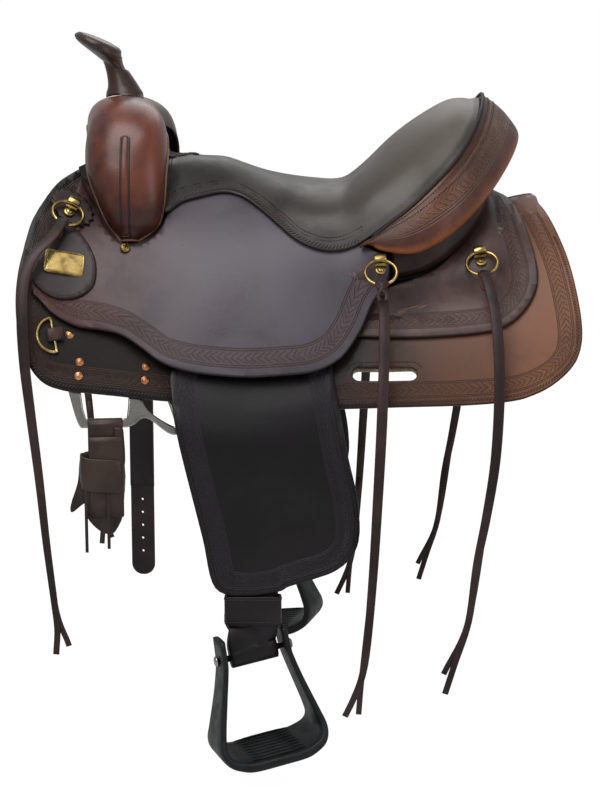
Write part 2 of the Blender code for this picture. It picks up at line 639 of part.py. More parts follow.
def build_leather_layers():
    """Fleece, skirts and both pairs of jockeys, from the horse outwards."""
    fleece_outline = []
    middle = Vector((0.0, 0.19))
    for x, girth in SKIRT_OUTLINE:
        inward = (middle - Vector((x, girth))).normalized() * FLEECE_MARGIN
        fleece_outline.append((x + inward.x, min(girth + inward.y, plate_top_girth(x) - PLATE_ROOM)))
    fleece = laid_panel(fleece_outline, FLEECE_CELL, on_horse, 0.0, FLEECE - NARROW_GAP)
    fleece = add_object("fleece_left", fleece, "fleece")
    both_sides(finish(combine(fleece, slot_cutter(FLEECE_MARGIN / 2, 0.0, FLEECE), "DIFFERENCE"), "fleece"))

    skirt = laid_panel(closed_outline(SKIRT_OUTLINE), CELL, on_horse, SKIRT_IN, SKIRT_OUT)
    skirt = add_object("skirt_left", skirt, "dark_brown")
    combine(skirt, slot_cutter(0.0, SKIRT_IN, SKIRT_OUT), "DIFFERENCE")
    for x, girth in RIVETS:
        place, _, _, out = surface_frame(x, girth, SKIRT_IN)
        hole = rod("rivet_cutter", place - out * 0.004, place + out * (SKIRT + 0.004),
                   RIVET_STEM + NARROW_GAP, sides=RIVET_SIDES)
        combine(skirt, hole, "DIFFERENCE")
    both_sides(finish(skirt, "dark_brown"))

    def rear_out(x, girth):
        return rear_jockey_in(x, girth) + REAR_JOCKEY

    rear = laid_panel(closed_outline(REAR_JOCKEY_OUTLINE), CELL, on_horse, rear_jockey_in, rear_out)
    both_sides(add_object("rear_jockey_left", rear, "dark_brown"))

    def seat_in(x, girth):
        return seat_form(x, girth) - JOCKEY

    seat = laid_panel(closed_outline(SEAT_JOCKEY_OUTLINE), FINE_CELL, on_horse, seat_in, seat_form)
    both_sides(add_object("seat_jockey_left", seat, "dark_brown"))


def plate_top_girth(x):
    """Girth of the rigging plate's upper edge, or a large one away from the plate."""
    if x > -0.130:
        return 1.0
    return girth_at(min(x, -0.168), PLATE_TOP_Z, PLATE_IN)


def on_plate(x, z, height):
    return on_horse(x, girth_at(x, z, PLATE_IN), height)


def whole_edge(edge, back_x):
    """The edge of a piece across the centre line: the near half from front to back, then the off half."""
    line = [*edge, (back_x, 0.0), *[(x, -girth) for x, girth in reversed(edge)]]
    return [(p[0], p[1]) for p in smooth_path([(a, b, 0) for a, b in line], 2)]


def tied_edge(edge, back_x, front):
    """A whole outline: the edge of both halves, closed by the front's points."""
    return whole_edge(edge, back_x) + [(x, -g) for x, g in front] + [(x, g) for x, g in reversed(front)][1:]


def build_seat():
    """Tree, ground seat and the padded seat over them."""
    bar = laid_panel(closed_outline(BAR_OUTLINE), CELL, on_horse, BAR_IN, bar_top)
    both_sides(add_object("tree_bar_left", bar, "tree_wood"))

    def ground_top(x, girth):
        return seat_form(x, girth) - JOCKEY - LAID_GAP

    def ground_low(x, girth):
        return ground_top(x, girth) - GROUND_SEAT

    ground = laid_panel(tied_edge(GROUND_SEAT_EDGE, GROUND_SEAT_BACK_X, ((-0.150, 0.012), (-0.128, 0.0))),
                        FINE_CELL, on_horse, ground_low, ground_top)
    add_object("ground_seat", ground, "tan_brown")

    def block_top(x, girth):
        return ground_low(x, girth) - BLOCK_ROOM

    block = laid_panel(tied_edge(TREE_CANTLE_EDGE, TREE_CANTLE_BACK_X, ((0.122, 0.030), (0.120, 0.0))),
                       FINE_CELL, on_horse, CANTLE_FOOT, block_top)
    add_object("tree_cantle", block, "tree_wood")

    outline = tied_edge(SEAT_EDGE, SEAT_BACK_X, HAND_HOLE)
    edge_points = [Vector(p) for p in outline]

    def pad_out(x, girth):
        near = min((Vector((x, girth)) - p).length for p in edge_points)
        return pad_in(x, girth) + PAD_EDGE + (PAD - PAD_EDGE) * smooth_step(near / PAD_CROWN)

    def pad_in(x, girth):
        return seat_form(x, girth) + LAID_GAP

    pad = laid_panel(outline, FINE_CELL, on_horse, pad_in, pad_out)
    add_object("seat_cover", pad, "seat_black")


def swell_ring(section, shrink, thick):
    """A section of the swell: from its front edge over the outside to its rear edge, and back inside."""
    y, z, x, width, depth, out = section
    ring = []
    for inner in (False, True):
        half = width / 2 - shrink - (thick if inner else 0)
        deep = depth - shrink - (thick if inner else 0)
        arc = []
        for k in range(SWELL_SIDES + 1):
            angle = math.pi * k / SWELL_SIDES
            bow = math.copysign(abs(math.cos(angle)) ** 0.8, math.cos(angle))
            arc.append(Vector((x - half * bow, y, z)) + out * max(deep, 0.001) * math.sin(angle) ** 0.8)
        if thick == 0:
            return arc
        ring += list(reversed(arc)) if inner else arc
    return ring


def swell_stations():
    """Sections from foot to foot with their outward direction."""
    near = [Vector((s[0], s[1], 0)) for s in SWELL_SECTIONS]
    stations = []
    count = len(near)
    for i, section in enumerate(SWELL_SECTIONS):
        before = near[max(i - 1, 0)]
        after = near[i + 1] if i + 1 < count else Vector((-near[i - 1].x, near[i - 1].y, 0))
        along = (after - before).normalized()
        stations.append((*section, Vector((0, -along.y, along.x))))
    for section in reversed(stations[:-1]):
        y, z, x, width, depth, out = section
        stations.append((-y, z, x, width, depth, Vector((0, -out.y, out.z))))
    return stations


def build_swell():
    """Fork of the tree, and its leather cover with a welt down each lobe."""
    stations = swell_stations()
    cover = tube_rings([swell_ring(s, 0.0, SWELL_LEATHER) for s in stations])
    cover = add_object("swell_cover", cover, "red_brown")
    welts = []
    for near in (True, False):
        picked = stations[1:6] if near else list(reversed(stations[-6:-1]))
        rings = []
        for k, (y, z, x, _, depth, out) in enumerate(picked):
            crest = Vector((-0.2185, y, z)) + out * (depth - 0.0015)
            rise = WELT_HEIGHT if 0 < k < len(picked) - 1 else WELT_HEIGHT / 2
            w = Vector((WELT_WIDTH / 2, 0, 0))
            rings.append([crest - w, crest - w * 0.6 + out * rise, crest + w * 0.6 + out * rise, crest + w])
        welts.append(add_object("welt", tube_rings(rings), "red_brown"))
    for welt in welts:
        combine(cover, welt, "UNION")
    finish(cover, "red_brown")
    inner = [swell_ring(s, SWELL_LEATHER + GAP, 0.0)
             for s in stations[FORK_FIRST:len(stations) - FORK_FIRST]]
    add_object("tree_fork", tube_rings(inner), "tree_wood")


def swell_crest(x):
    """Height of the swell cover on the centre line."""
    _, z, middle, width, depth = SWELL_SECTIONS[-1]
    share = min(abs(x - middle) / (width / 2), 1.0) ** 1.25
    return z + depth * (1 - share ** 2) ** 0.4


def build_horn():
    """Horn neck, whose foot lies on the swell, and the cap on it."""
    tilt = Matrix.Rotation(CAP_TILT, 4, "Y")
    rings = []
    share, rise, shift = CAP_PROFILE[-1]
    top = Vector(CAP_CENTRE) + tilt @ Vector((shift, 0, rise - NARROW_GAP))
    foot = [(NECK_SECTIONS[0][0], NECK_SECTIONS[0][1], NECK_SECTIONS[0][2] * part) for part in FOOT_PARTS]
    sections = [*foot, *NECK_SECTIONS, (top.x, top.z, CAP_LENGTH / 2 * share)]
    for i, (x, z, radius) in enumerate(sections):
        turn = Matrix.Rotation(CAP_TILT * (max(i - len(foot), 0) / len(NECK_SECTIONS)) ** 2, 4, "Y")
        ring = []
        for k in range(NECK_SIDES):
            angle = math.tau * k / NECK_SIDES
            reach = turn @ Vector((radius * math.cos(angle), radius * math.sin(angle), 0))
            ring.append(Vector((x, 0, z)) + reach)
        rings.append(ring)
    for ring in rings[:len(foot) + 1]:
        for point in ring:
            point.z = swell_crest(point.x) + GAP
    add_object("horn_neck", tube_rings(rings), "red_brown")
    rings = []
    for share, rise, shift in CAP_PROFILE:
        ring = []
        for k in range(CAP_SIDES):
            angle = math.tau * k / CAP_SIDES
            reach = max(share, 0.03)
            local = Vector((shift + CAP_LENGTH / 2 * reach * math.cos(angle),
                            CAP_WIDTH / 2 * reach * math.sin(angle), rise))
            ring.append(Vector(CAP_CENTRE) + tilt @ local)
        rings.append(ring)
    add_object("horn_cap", tube_rings(rings), "red_brown")


def build_cantle():
    """Rolled cantle binding, and the leather on the back of the cantle."""
    line = [Vector((x, girth, 0)) for x, girth in whole_edge(SEAT_EDGE, SEAT_BACK_X)]
    first, last = ROLL_FIRST, 2 * len(SEAT_EDGE)
    edges = smooth_path([*ROLL_EDGE, *[(x, -y, z) for x, y, z in reversed(ROLL_EDGE[:-1])]], 2)
    rings = []
    tops = []
    for i in range(first, last + 1):
        along = (line[i + 1] - line[i - 1]).normalized()
        grown = smooth_step((i - first) / 5)
        rim = line[i] + Vector((-along.y, along.x, 0)) * ROLL_GAP * (2 - grown)
        edge = edges[i - first]
        lift = seat_form(rim.x, rim.y) + LAID_GAP + PAD_EDGE
        start = on_horse(rim.x, rim.y, lift)
        normal = (on_horse(rim.x, rim.y, lift + 0.01) - start).normalized()
        out = edge - start
        run = (edges[i - first + 1] - edges[max(i - first - 1, 0)]).normalized()
        up = out.cross(run).normalized()
        if up.dot(normal) < 0:
            up = -up
        thick = ROLL_THICK * (0.25 + 0.75 * grown)
        lip = PAD_EDGE * 0.7 + (ROLL_LIP - PAD_EDGE * 0.7) * grown
        ring = [start - normal * lip, start + normal * 0.002, start + out * 0.06 + normal * 0.005,
                start + out * 0.22 + up * ROLL_BULGE * 0.9, start + out * 0.50 + up * ROLL_BULGE,
                start + out * 0.80 + up * ROLL_BULGE * 0.55, start + out * 0.95, edge - up * thick * 0.20,
                start + out * 0.985 - up * thick * 0.48, start + out * 0.88 - up * thick * 0.75,
                start + out * 0.62 - up * thick * 0.95, start + out * 0.34 - up * thick]
        rings.append(ring)
        tops.append(start + out * 0.50 - up * (thick + CANTLE_BACK_TOP))
    off = [[Vector((p.x, -p.y, p.z)) for p in ring] for ring in reversed(rings[:-1])]
    add_object("cantle_roll", tube_rings(rings + off), "tan_brown")

    near = []
    feet = smooth_path([(x, girth, 0) for x, girth in CANTLE_BACK_FOOT], 2)
    tops = tops[len(tops) - len(feet):]
    for i, (top, (x, girth, _)) in enumerate(zip(tops, feet, strict=True)):
        if i + 1 < len(feet):
            along = feet[max(i - 1, 0)] - feet[i + 1]
        else:
            along = Vector((0, 1, 0))
        inward = Vector((-abs(along.y), abs(along.x), 0)).normalized() * CANTLE_BACK_LEATHER
        wall = [top, top + inward]
        for place in ((x + inward.x, girth - inward.y), (x, girth)):
            wall.append(on_horse(*place, rear_jockey_in(*place) + REAR_JOCKEY + FOOT_GAP))
        near.append(wall)
    off = [[Vector((p.x, -p.y, p.z)) for p in ring] for ring in reversed(near[:-1])]
    add_object("cantle_back", tube_rings(near + off), "dark_brown")


def stirrup_frame():
    """Matrix of the near stirrup: local X across along the bolt, Y deep, Z up."""
    level = math.cos(STIRRUP_LEAN)
    across = Vector((math.cos(STIRRUP_YAW) * level, math.sin(STIRRUP_YAW) * level, math.sin(STIRRUP_LEAN)))
    up = Vector((-math.sin(STIRRUP_LEAN), 0, math.cos(STIRRUP_LEAN)))
    up = (up - up.dot(across) * across).normalized()
    deep = up.cross(across)
    centre = hanging(HINGE[0], BOLT_Z, LEATHER / 2)
    return Matrix.Translation(centre) @ Matrix((across, deep, up)).transposed().to_4x4()


def build_leathers():
    """Fenders, stirrup leathers, hobble straps, stirrups and their bolts."""
    hinge = HINGE
    fender_low = LEATHER + GAP

    fender = laid_panel(closed_outline(FENDER_OUTLINE), CELL, hanging, fender_low, fender_low + FENDER)
    both_sides(add_object("fender_left", fender, "fender_black", hinge))

    frame = stirrup_frame()
    turn = frame.to_3x3()
    half = LEATHER_WIDTH / 2
    front, rear = HINGE[0] - half, HINGE[0] + half
    flat = [(front, LEATHER_TOP_Z), (rear, LEATHER_TOP_Z), (rear, LEATHER_LOW_Z), (front, LEATHER_LOW_Z)]
    leather = laid_panel(flat, CELL, hanging, 0.0, LEATHER)
    leather = add_object("stirrup_leather_left", leather, "fender_black", hinge)
    bolt = frame.translation
    down = -(turn @ Vector((0, 0, 1)))
    route = [hanging(HINGE[0], LEATHER_LOW_Z + LEATHER_LAP, LEATHER / 2),
             hanging(HINGE[0], LEATHER_LOW_Z, LEATHER / 2), bolt - down * EYE_HEIGHT * 0.6,
             bolt - down * EYE_HEIGHT * 0.3, bolt + down * EYE_HEIGHT * 0.3, bolt + down * EYE_HEIGHT * 0.5]
    thicks = [LEATHER * 1.2, LEATHER * 1.3, EYE_THICK * 0.7, EYE_THICK, EYE_THICK, EYE_THICK * 0.5]
    straight, twisted = Vector((1, 0, 0)), turn @ Vector((1, 0, 0))

    def across(i):
        return straight.lerp(twisted, smooth_step(i / 2))

    end = tube_rings(strap_rings(route, [LEATHER_WIDTH * 0.98] * len(route), thicks, across))
    combine(leather, add_object("leather_end", end, "fender_black"), "UNION")
    half = LEATHER_WIDTH
    cutter = rod("bolt_cutter", frame @ Vector((-half, 0, 0)), frame @ Vector((half, 0, 0)),
                 BOLT_RADIUS + BOLT_ROOM)
    both_sides(finish(combine(leather, cutter, "DIFFERENCE"), "fender_black"))

    half = LEATHER_WIDTH / 2 + HOBBLE_ROOM
    corners = [(HINGE[0] + side * half, z) for side in (-1, 0, 1)
               for z in (HOBBLE_TOP_Z, HOBBLE_TOP_Z - HOBBLE_HEIGHT)]
    inner = min(-hanging(x, z, 0).y for x, z in corners) - HOBBLE_ROOM
    outer = max(-hanging(x, z, LEATHER).y for x, z in corners) + HOBBLE_ROOM
    loops = []
    for grow in (0.0, HOBBLE_LEATHER):
        corner = 0.002 + grow
        loop = []
        for cx, cy, first in ((1, 1, 0), (-1, 1, 90), (-1, -1, 180), (1, -1, 270)):
            for k in range(3):
                angle = math.radians(first + 45 * k)
                loop.append((HINGE[0] + cx * (half + grow - corner) + corner * math.cos(angle),
                             -(inner + outer) / 2 + cy * ((outer - inner) / 2 + grow - corner)
                             + corner * math.sin(angle)))
        loops.append(loop)
    rings = []
    for loop, z in ((loops[1], HOBBLE_TOP_Z), (loops[1], HOBBLE_TOP_Z - HOBBLE_HEIGHT),
                    (loops[0], HOBBLE_TOP_Z - HOBBLE_HEIGHT), (loops[0], HOBBLE_TOP_Z)):
        rings.append([Vector((x, y, z)) for x, y in loop])
    both_sides(add_object("hobble_strap_left", tube_rings(rings, closed=True), "fender_black", hinge))

    half_path = list(STIRRUP_SECTIONS)
    path = half_path + [(-x, z, deep, thick) for x, z, deep, thick in reversed(half_path[:-1])]
    rings = []
    for i, (x, z, deep, thick) in enumerate(path):
        a, b = path[max(i - 1, 0)], path[min(i + 1, len(path) - 1)]
        along = Vector((b[0] - a[0], 0, b[1] - a[1])).normalized()
        out = Vector((along.z, 0, -along.x)) * -1
        place = Vector((x, 0, z))
        ring = []
        for s, t in ((-0.5, -0.25), (-0.44, -0.5), (0.44, -0.5), (0.5, -0.25), (0.5, 0.25), (0.44, 0.5),
                     (-0.44, 0.5), (-0.5, 0.25)):
            ring.append(frame @ (place + Vector((0, s * deep, 0)) + out * t * thick))
        rings.append(ring)
    stirrup = add_object("stirrup_left", tube_rings(rings), "moulded_black", frame.translation)
    reach = HEAD_HALF + 0.02
    cutter = rod("bolt_cutter", frame @ Vector((-reach, 0, 0)), frame @ Vector((reach, 0, 0)),
                 BOLT_RADIUS + BOLT_ROOM)
    both_sides(finish(combine(stirrup, cutter, "DIFFERENCE"), "moulded_black"))

    end = HEAD_HALF + STIRRUP_SECTIONS[0][3] / 2 + 4 * BOLT_ROOM
    rings = []
    for x, radius in ((-end - 0.004, 0.0035), (-end - 0.003, 0.0062), (-end, 0.0066), (-end, BOLT_RADIUS),
                      (end, BOLT_RADIUS), (end, 0.0066), (end + 0.003, 0.0062), (end + 0.004, 0.0035)):
        ring = []
        for k in range(BOLT_SIDES):
            angle = math.tau * k / BOLT_SIDES
            ring.append(frame @ Vector((x, radius * math.cos(angle), radius * math.sin(angle))))
        rings.append(ring)
    both_sides(add_object("stirrup_bolt_left", tube_rings(rings), "steel", frame.translation))


def build_rigging():
    """Rigging plates with their rivets, breast dees and their keepers."""
    plate = laid_panel(closed_outline(PLATE_OUTLINE), CELL, on_plate, PLATE_IN, PLATE_IN + PLATE)
    plate = add_object("rigging_plate_left", plate, "steel")
    for loop in (FRONT_LOOP, REAR_LOOP):
        low, high = PLATE_IN - PLATE, PLATE_IN + 2 * PLATE
        cutter = laid_panel(closed_outline(loop), CELL, on_plate, low, high)
        combine(plate, add_object("loop_cutter", cutter, "steel"), "DIFFERENCE")
    for x, girth in RIVETS:
        place, _, _, out = surface_frame(x, girth, SKIRT_IN)
        tall = SKIRT + GAP
        side = out.orthogonal().normalized()
        other = out.cross(side)
        rings = []
        for rise, radius in ((-LAID_GAP - PLATE / 2, RIVET_STEM), (tall, RIVET_STEM), (tall, RIVET_RADIUS),
                             (tall + RIVET_HEAD, RIVET_RADIUS * 0.5)):
            ring = []
            for k in range(RIVET_SIDES):
                angle = math.tau * k / RIVET_SIDES
                ring.append(place + out * rise + radius * (side * math.cos(angle) + other * math.sin(angle)))
            rings.append(ring)
        combine(plate, add_object("rivet", tube_rings(rings), "steel"), "UNION")
    both_sides(finish(plate, "steel"))

    top = on_horse(*DEE_TOP, SKIRT_OUT + DEE_STAND)
    foot = on_horse(*DEE_FOOT, SKIRT_OUT + DEE_STAND)
    bar = (foot - top).normalized()
    between = (Vector(DEE_TOP) + Vector(DEE_FOOT)) / 2
    _, ahead, _, out = surface_frame(between.x, between.y, SKIRT_OUT)
    reach = (-ahead + ahead.dot(bar) * bar).normalized()
    middle = (top + foot) / 2
    half = (foot - top).length / 2
    centres = []
    for k in range(13):
        angle = math.pi * k / 12
        centres.append(middle - bar * half * math.cos(angle) + reach * DEE_REACH * math.sin(angle))
    for k in (0.6, 0.2, -0.2, -0.6):
        centres.append(middle + bar * half * k)
    face = reach.cross(bar)
    rings = []
    count = len(centres)
    for i in range(count):
        along = (centres[(i + 1) % count] - centres[i - 1]).normalized()
        side = along.cross(face).normalized()
        ring = []
        for k in range(WIRE_SIDES):
            angle = math.tau * k / WIRE_SIDES
            ring.append(centres[i] + DEE_WIRE * (side * math.cos(angle) + face * math.sin(angle)))
        rings.append(ring)
    both_sides(add_object("breast_dee_left", tube_rings(rings, closed=True), "brass", middle))
    matrix = Matrix((-reach, bar, out)).transposed().to_4x4()
    matrix = Matrix.Translation(middle) @ matrix
    seat = KEEPER_THICK / 2 - DEE_STAND + LAID_GAP
    keeper = box_mesh((KEEPER_LONG, KEEPER_WIDTH, KEEPER_THICK), (KEEPER_BEHIND, 0, seat), matrix, 0.001)
    keeper = add_object("dee_keeper_left", keeper, "dark_brown")
    radius = DEE_WIRE + KEEPER_ROOM
    cutter = rod("keeper_cutter", middle - bar * half, middle + bar * half, radius, sides=12)
    both_sides(finish(combine(keeper, cutter, "DIFFERENCE"), "dark_brown"))


def fitting_height(name, x, girth):
    """Height over the horse of the leather that a ring's clip is screwed to."""
    if name == "rear":
        return rear_jockey_in(x, girth) + REAR_JOCKEY
    return seat_form(x, girth)


def clip_seat(name):
    """Height over the horse at which a ring's clip sits."""
    x, girth = RING_PLACES[name]
    under = ROSETTE + GAP if name == "front" else 0.0
    return fitting_height(name, x, girth) + CLIP_SEAT[name] + under


def ring_foot(name):
    """Where a string starts: outside the lowest point of its ring."""
    place, _, down, out = surface_frame(*RING_PLACES[name], clip_seat(name))
    rise = RING_STAND + RING_WIRE + STRING_THICK / 2 + STRING_LIFT[name]
    return place + down * 2 * RING_RADIUS + out * rise


def build_fittings():
    """Rings with their clips, the rosettes behind the front rings, the tag and the screws."""
    def tag_low(x, girth):
        return seat_form(x, girth) + GAP

    def tag_high(x, girth):
        return tag_low(x, girth) + TAG

    def rosette_high(x, girth):
        return tag_low(x, girth) + ROSETTE

    for name, (x, girth) in RING_PLACES.items():
        if name == "front":
            points = []
            for k in range(ROSETTE_SCALLOPS * 3):
                angle = math.tau * k / (ROSETTE_SCALLOPS * 3)
                radius = ROSETTE_RADIUS - ROSETTE_DEPTH * math.cos(angle * ROSETTE_SCALLOPS)
                points.append((x + radius * math.cos(angle), girth + radius * math.sin(angle)))
            rosette = laid_panel(points, FINE_CELL, on_horse, tag_low, rosette_high)
            both_sides(add_object("rosette_left", rosette, "lace_brown"))
        frame = surface_frame(x, girth, clip_seat(name))
        matrix = framed(frame)
        clip = box_mesh((CLIP_WIDTH, CLIP_HEIGHT, CLIP_THICK), (0, 0.002, CLIP_THICK / 2), matrix, 0.0012)
        clip = add_object(f"ring_clip_{name}_left", clip, "brass")
        centre = Matrix.Translation((0, RING_RADIUS, RING_STAND))
        hole = ring_mesh(RING_RADIUS, RING_WIRE + CLIP_ROOM, RING_STEPS, 8, matrix @ centre)
        combine(clip, add_object("ring_cutter", hole, "brass"), "DIFFERENCE")
        both_sides(finish(clip, "brass"))
        ring = ring_mesh(RING_RADIUS, RING_WIRE, RING_STEPS, WIRE_SIDES, matrix @ centre)
        pivot = matrix @ Vector((0, 0, RING_STAND))
        both_sides(add_object(f"ring_{name}_left", ring, "brass", pivot))

    tag = laid_panel(closed_outline(TAG_OUTLINE), FINE_CELL, on_horse, tag_low, tag_high)
    add_object("tag_left", tag, "lace_brown")
    matrix = framed(surface_frame(*SCREW_PLACE, seat_form(*SCREW_PLACE) + 0.0017))
    rings = []
    for z, share in ((0, 1.0), (SCREW_HEIGHT * 0.5, 0.96), (SCREW_HEIGHT, 0.6)):
        ring = []
        for k in range(16):
            angle = math.tau * k / 16
            ring.append(matrix @ Vector((SCREW_RADIUS * share * math.cos(angle),
                                         SCREW_RADIUS * share * math.sin(angle), z)))
        rings.append(ring)
    both_sides(add_object("swell_screw_left", tube_rings(rings), "brass"))


def rod_line():
    """Ends of the straight part of the front loop's lower rod, on the near side."""
    return [on_plate(x, ROD_MIDDLE, PLATE_IN + PLATE / 2) for x in ROD_ENDS]


def build_straps():
    """Latigo and billet on the rigging, and the saddle strings."""
    for name, material, width, thick, top, drop, leaf, side in (
            ("latigo_left", "lace_brown", LATIGO_WIDTH, LATIGO_THICK, LATIGO_TOP, LATIGO_DROP,
             LATIGO_THICK, 1),
            ("billet_right", "fender_black", BILLET_WIDTH, BILLET_THICK, BILLET_TOP, BILLET_DROP,
             BILLET_LEATHER, -1)):
        start, end = (Vector((p.x, p.y * side, p.z)) for p in rod_line())
        centre = (start + end) / 2
        along = (end - start).normalized()
        out = Vector((along.y, -along.x, 0)).normalized() * side
        up = out.cross(along) * side
        if up.z < 0:
            up = -up
        profile = []
        for k in range(9):
            angle = math.pi * k / 8
            profile.append((thick / 2 * math.cos(angle), top - thick / 2 + thick / 2 * math.sin(angle)))
        neck = -0.030 if leaf < thick else -drop * 0.6
        profile += [(-thick / 2, -0.012), (-leaf / 2, neck), (-leaf / 2, -drop), (leaf / 2, -drop),
                    (leaf / 2, neck), (thick / 2, -0.012)]
        rings = []
        for x in (-width / 2, width / 2):
            rings.append([centre + along * x + out * y + up * z for y, z in profile])
        strap = add_object(name, tube_rings(rings), material, centre)
        radius = ROD_HALF + ROD_ROOM
        cutter = rod("rod_cutter", centre - along * width, centre + along * width, radius, sides=14)
        finish(combine(strap, cutter, "DIFFERENCE"), material)

    for name, places in STRING_ROUTES.items():
        points = [ring_foot(name), *places]
        route = smooth_path(points, 2)
        count = len(route)
        widths, thicks = [], []
        for i in range(count):
            share = smooth_step((i / count - 0.35) / 0.6)
            widths.append(STRING_WIDTH + (STRING_END_WIDTH - STRING_WIDTH) * share)
            thicks.append(STRING_THICK + (STRING_END_THICK - STRING_THICK) * share)
        string = tube_rings(strap_rings(route, widths, thicks, lambda i: Vector((1, 0, 0.01))))
        string = add_object(f"string_{name}_left", string, "lace_brown")
        start = len(points) - FORK_FROM
        fork = smooth_path([points[start], STRING_FORKS[name]], 2)
        prong = strap_rings(fork, [STRING_END_WIDTH * 0.9] * 3, [STRING_END_THICK * 0.8] * 3,
                            lambda i: Vector((1, 0, 0.01)))
        combine(string, add_object("prong", tube_rings(prong), "lace_brown"), "UNION")
        both_sides(finish(string, "lace_brown"))


def clear_scene():
    for obj in list(bpy.data.objects):
        bpy.data.objects.remove(obj)


clear_scene()
build_leather_layers()
build_seat()
build_swell()
build_horn()
build_cantle()
build_leathers()
build_rigging()
build_fittings()
build_straps()
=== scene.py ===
"""A Western trail saddle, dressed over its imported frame.

Metres. X runs from the horn to the back of the skirts, the near side is at -Y and Z is up. Near-side pieces
are mirrored in Y to make the off side.
"""

import math

import bmesh
import bpy
import numpy as np
from mathutils import Matrix, Vector, noise


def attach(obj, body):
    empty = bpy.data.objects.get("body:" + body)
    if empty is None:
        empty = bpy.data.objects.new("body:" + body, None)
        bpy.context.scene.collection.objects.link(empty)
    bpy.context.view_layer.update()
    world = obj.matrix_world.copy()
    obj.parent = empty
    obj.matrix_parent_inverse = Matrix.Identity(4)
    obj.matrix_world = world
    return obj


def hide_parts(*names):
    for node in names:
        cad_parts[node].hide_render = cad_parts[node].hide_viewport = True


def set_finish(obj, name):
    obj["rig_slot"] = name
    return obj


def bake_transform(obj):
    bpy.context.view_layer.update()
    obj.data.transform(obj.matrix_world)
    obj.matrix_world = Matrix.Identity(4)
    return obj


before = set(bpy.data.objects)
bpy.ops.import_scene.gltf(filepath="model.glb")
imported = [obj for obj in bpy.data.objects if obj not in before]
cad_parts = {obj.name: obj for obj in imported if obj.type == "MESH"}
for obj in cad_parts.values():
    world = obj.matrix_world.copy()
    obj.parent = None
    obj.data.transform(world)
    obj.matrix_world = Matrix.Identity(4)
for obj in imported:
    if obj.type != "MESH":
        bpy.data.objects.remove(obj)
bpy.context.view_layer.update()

# Camera: the near side from its middle, a little from above, as the saddle was photographed.
CAMERA_REACH = 2.58
CAMERA_RISE = math.radians(10)
CAMERA_AIM = Vector((0.0, 0.0, -0.241))
LENS = 85.5
SENSOR_HEIGHT = 36.0


def put(name, data):
    """A new object in the scene."""
    made = bpy.data.objects.new(name, data)
    bpy.context.collection.objects.link(made)
    return made


lens = bpy.data.cameras.new("camera")
lens.lens = LENS
lens.sensor_fit = "VERTICAL"
lens.sensor_height = SENSOR_HEIGHT
camera = put("camera", lens)
back = Vector((0, -math.cos(CAMERA_RISE), math.sin(CAMERA_RISE)))
camera.location = CAMERA_AIM + back * CAMERA_REACH
camera.rotation_euler = back.to_track_quat("Z", "Y").to_euler()
bpy.context.scene.camera = camera
bpy.context.scene.view_settings.view_transform = "Standard"


# The saddle strings: six oiled leather laces, each folded over its ring with a slit knot and left hanging
# in two tails. They lie on the horse's form, so the form that all the leather follows is set out here.
BACK_SLOPE = math.radians(22)
BACK_RADIUS = 0.415
BACK_LOW_X = 0.06
WITHERS_RISE = 0.7
LOIN_RISE = 0.41
BACK_DROP = 0.0025
CREST_WIDTH = 0.12
SKIRT_IN = 0.0146
SKIRT_OUT = 0.0201
JOCKEY = 0.0045
LINE_GIRTH = (0.0, 0.1, 0.2, 0.3)
CROWN = ((-0.35, 0.05), (-0.18, 0.052), (-0.137, 0.06), (-0.095, 0.06), (-0.043, 0.052), (0.02, 0.048),
         (0.058, 0.048), (0.078, 0.061), (0.12, 0.102), (0.16, 0.129), (0.2, 0.146), (0.25, 0.15))
THIGH = ((-0.35, 0.0255), (-0.26, 0.03), (-0.18, 0.05), (-0.1, 0.064), (-0.02, 0.072), (0.05, 0.078),
         (0.09, 0.096), (0.14, 0.114), (0.19, 0.134), (0.25, 0.142))
LEG = ((-0.35, 0.0255), (-0.28, 0.027), (-0.2, 0.039), (-0.12, 0.0545), (-0.06, 0.0585), (0.0, 0.0565),
       (0.06, 0.046), (0.1, 0.036), (0.25, 0.03))
HEM = ((-0.35, 0.0262), (-0.28, 0.028), (-0.2, 0.038), (-0.13, 0.047), (-0.06, 0.049), (0.01, 0.047),
       (0.06, 0.038), (0.1, 0.029), (0.25, 0.0265))
BAR_CREST_GIRTH = 0.088
BAR_HALF = 0.095
BAR_THICK = 0.021
BAR_EDGE = 0.008
RING_RADIUS = 0.0195
RING_WIRE = 0.0021
RING_STAND = 0.0052
RING_PLACES = {"front": (-0.287, 0.14), "middle": (0.1, 0.157), "rear": (0.227, 0.138)}
CLIP_SEAT = {"front": 0.0014 + 0.003 + 0.0008, "middle": 0.0056, "rear": -0.0006}
STRING_WIDTH = 0.0135
STRING_THICK = 0.0055
STRING_FLAT = Vector((1, 0, 0.01))
STRING_LIFT = {"front": 0.0024, "middle": 0.0011, "rear": 0.0009}
TAIL_WIDTH = 0.008
TAIL_THICK = 0.003
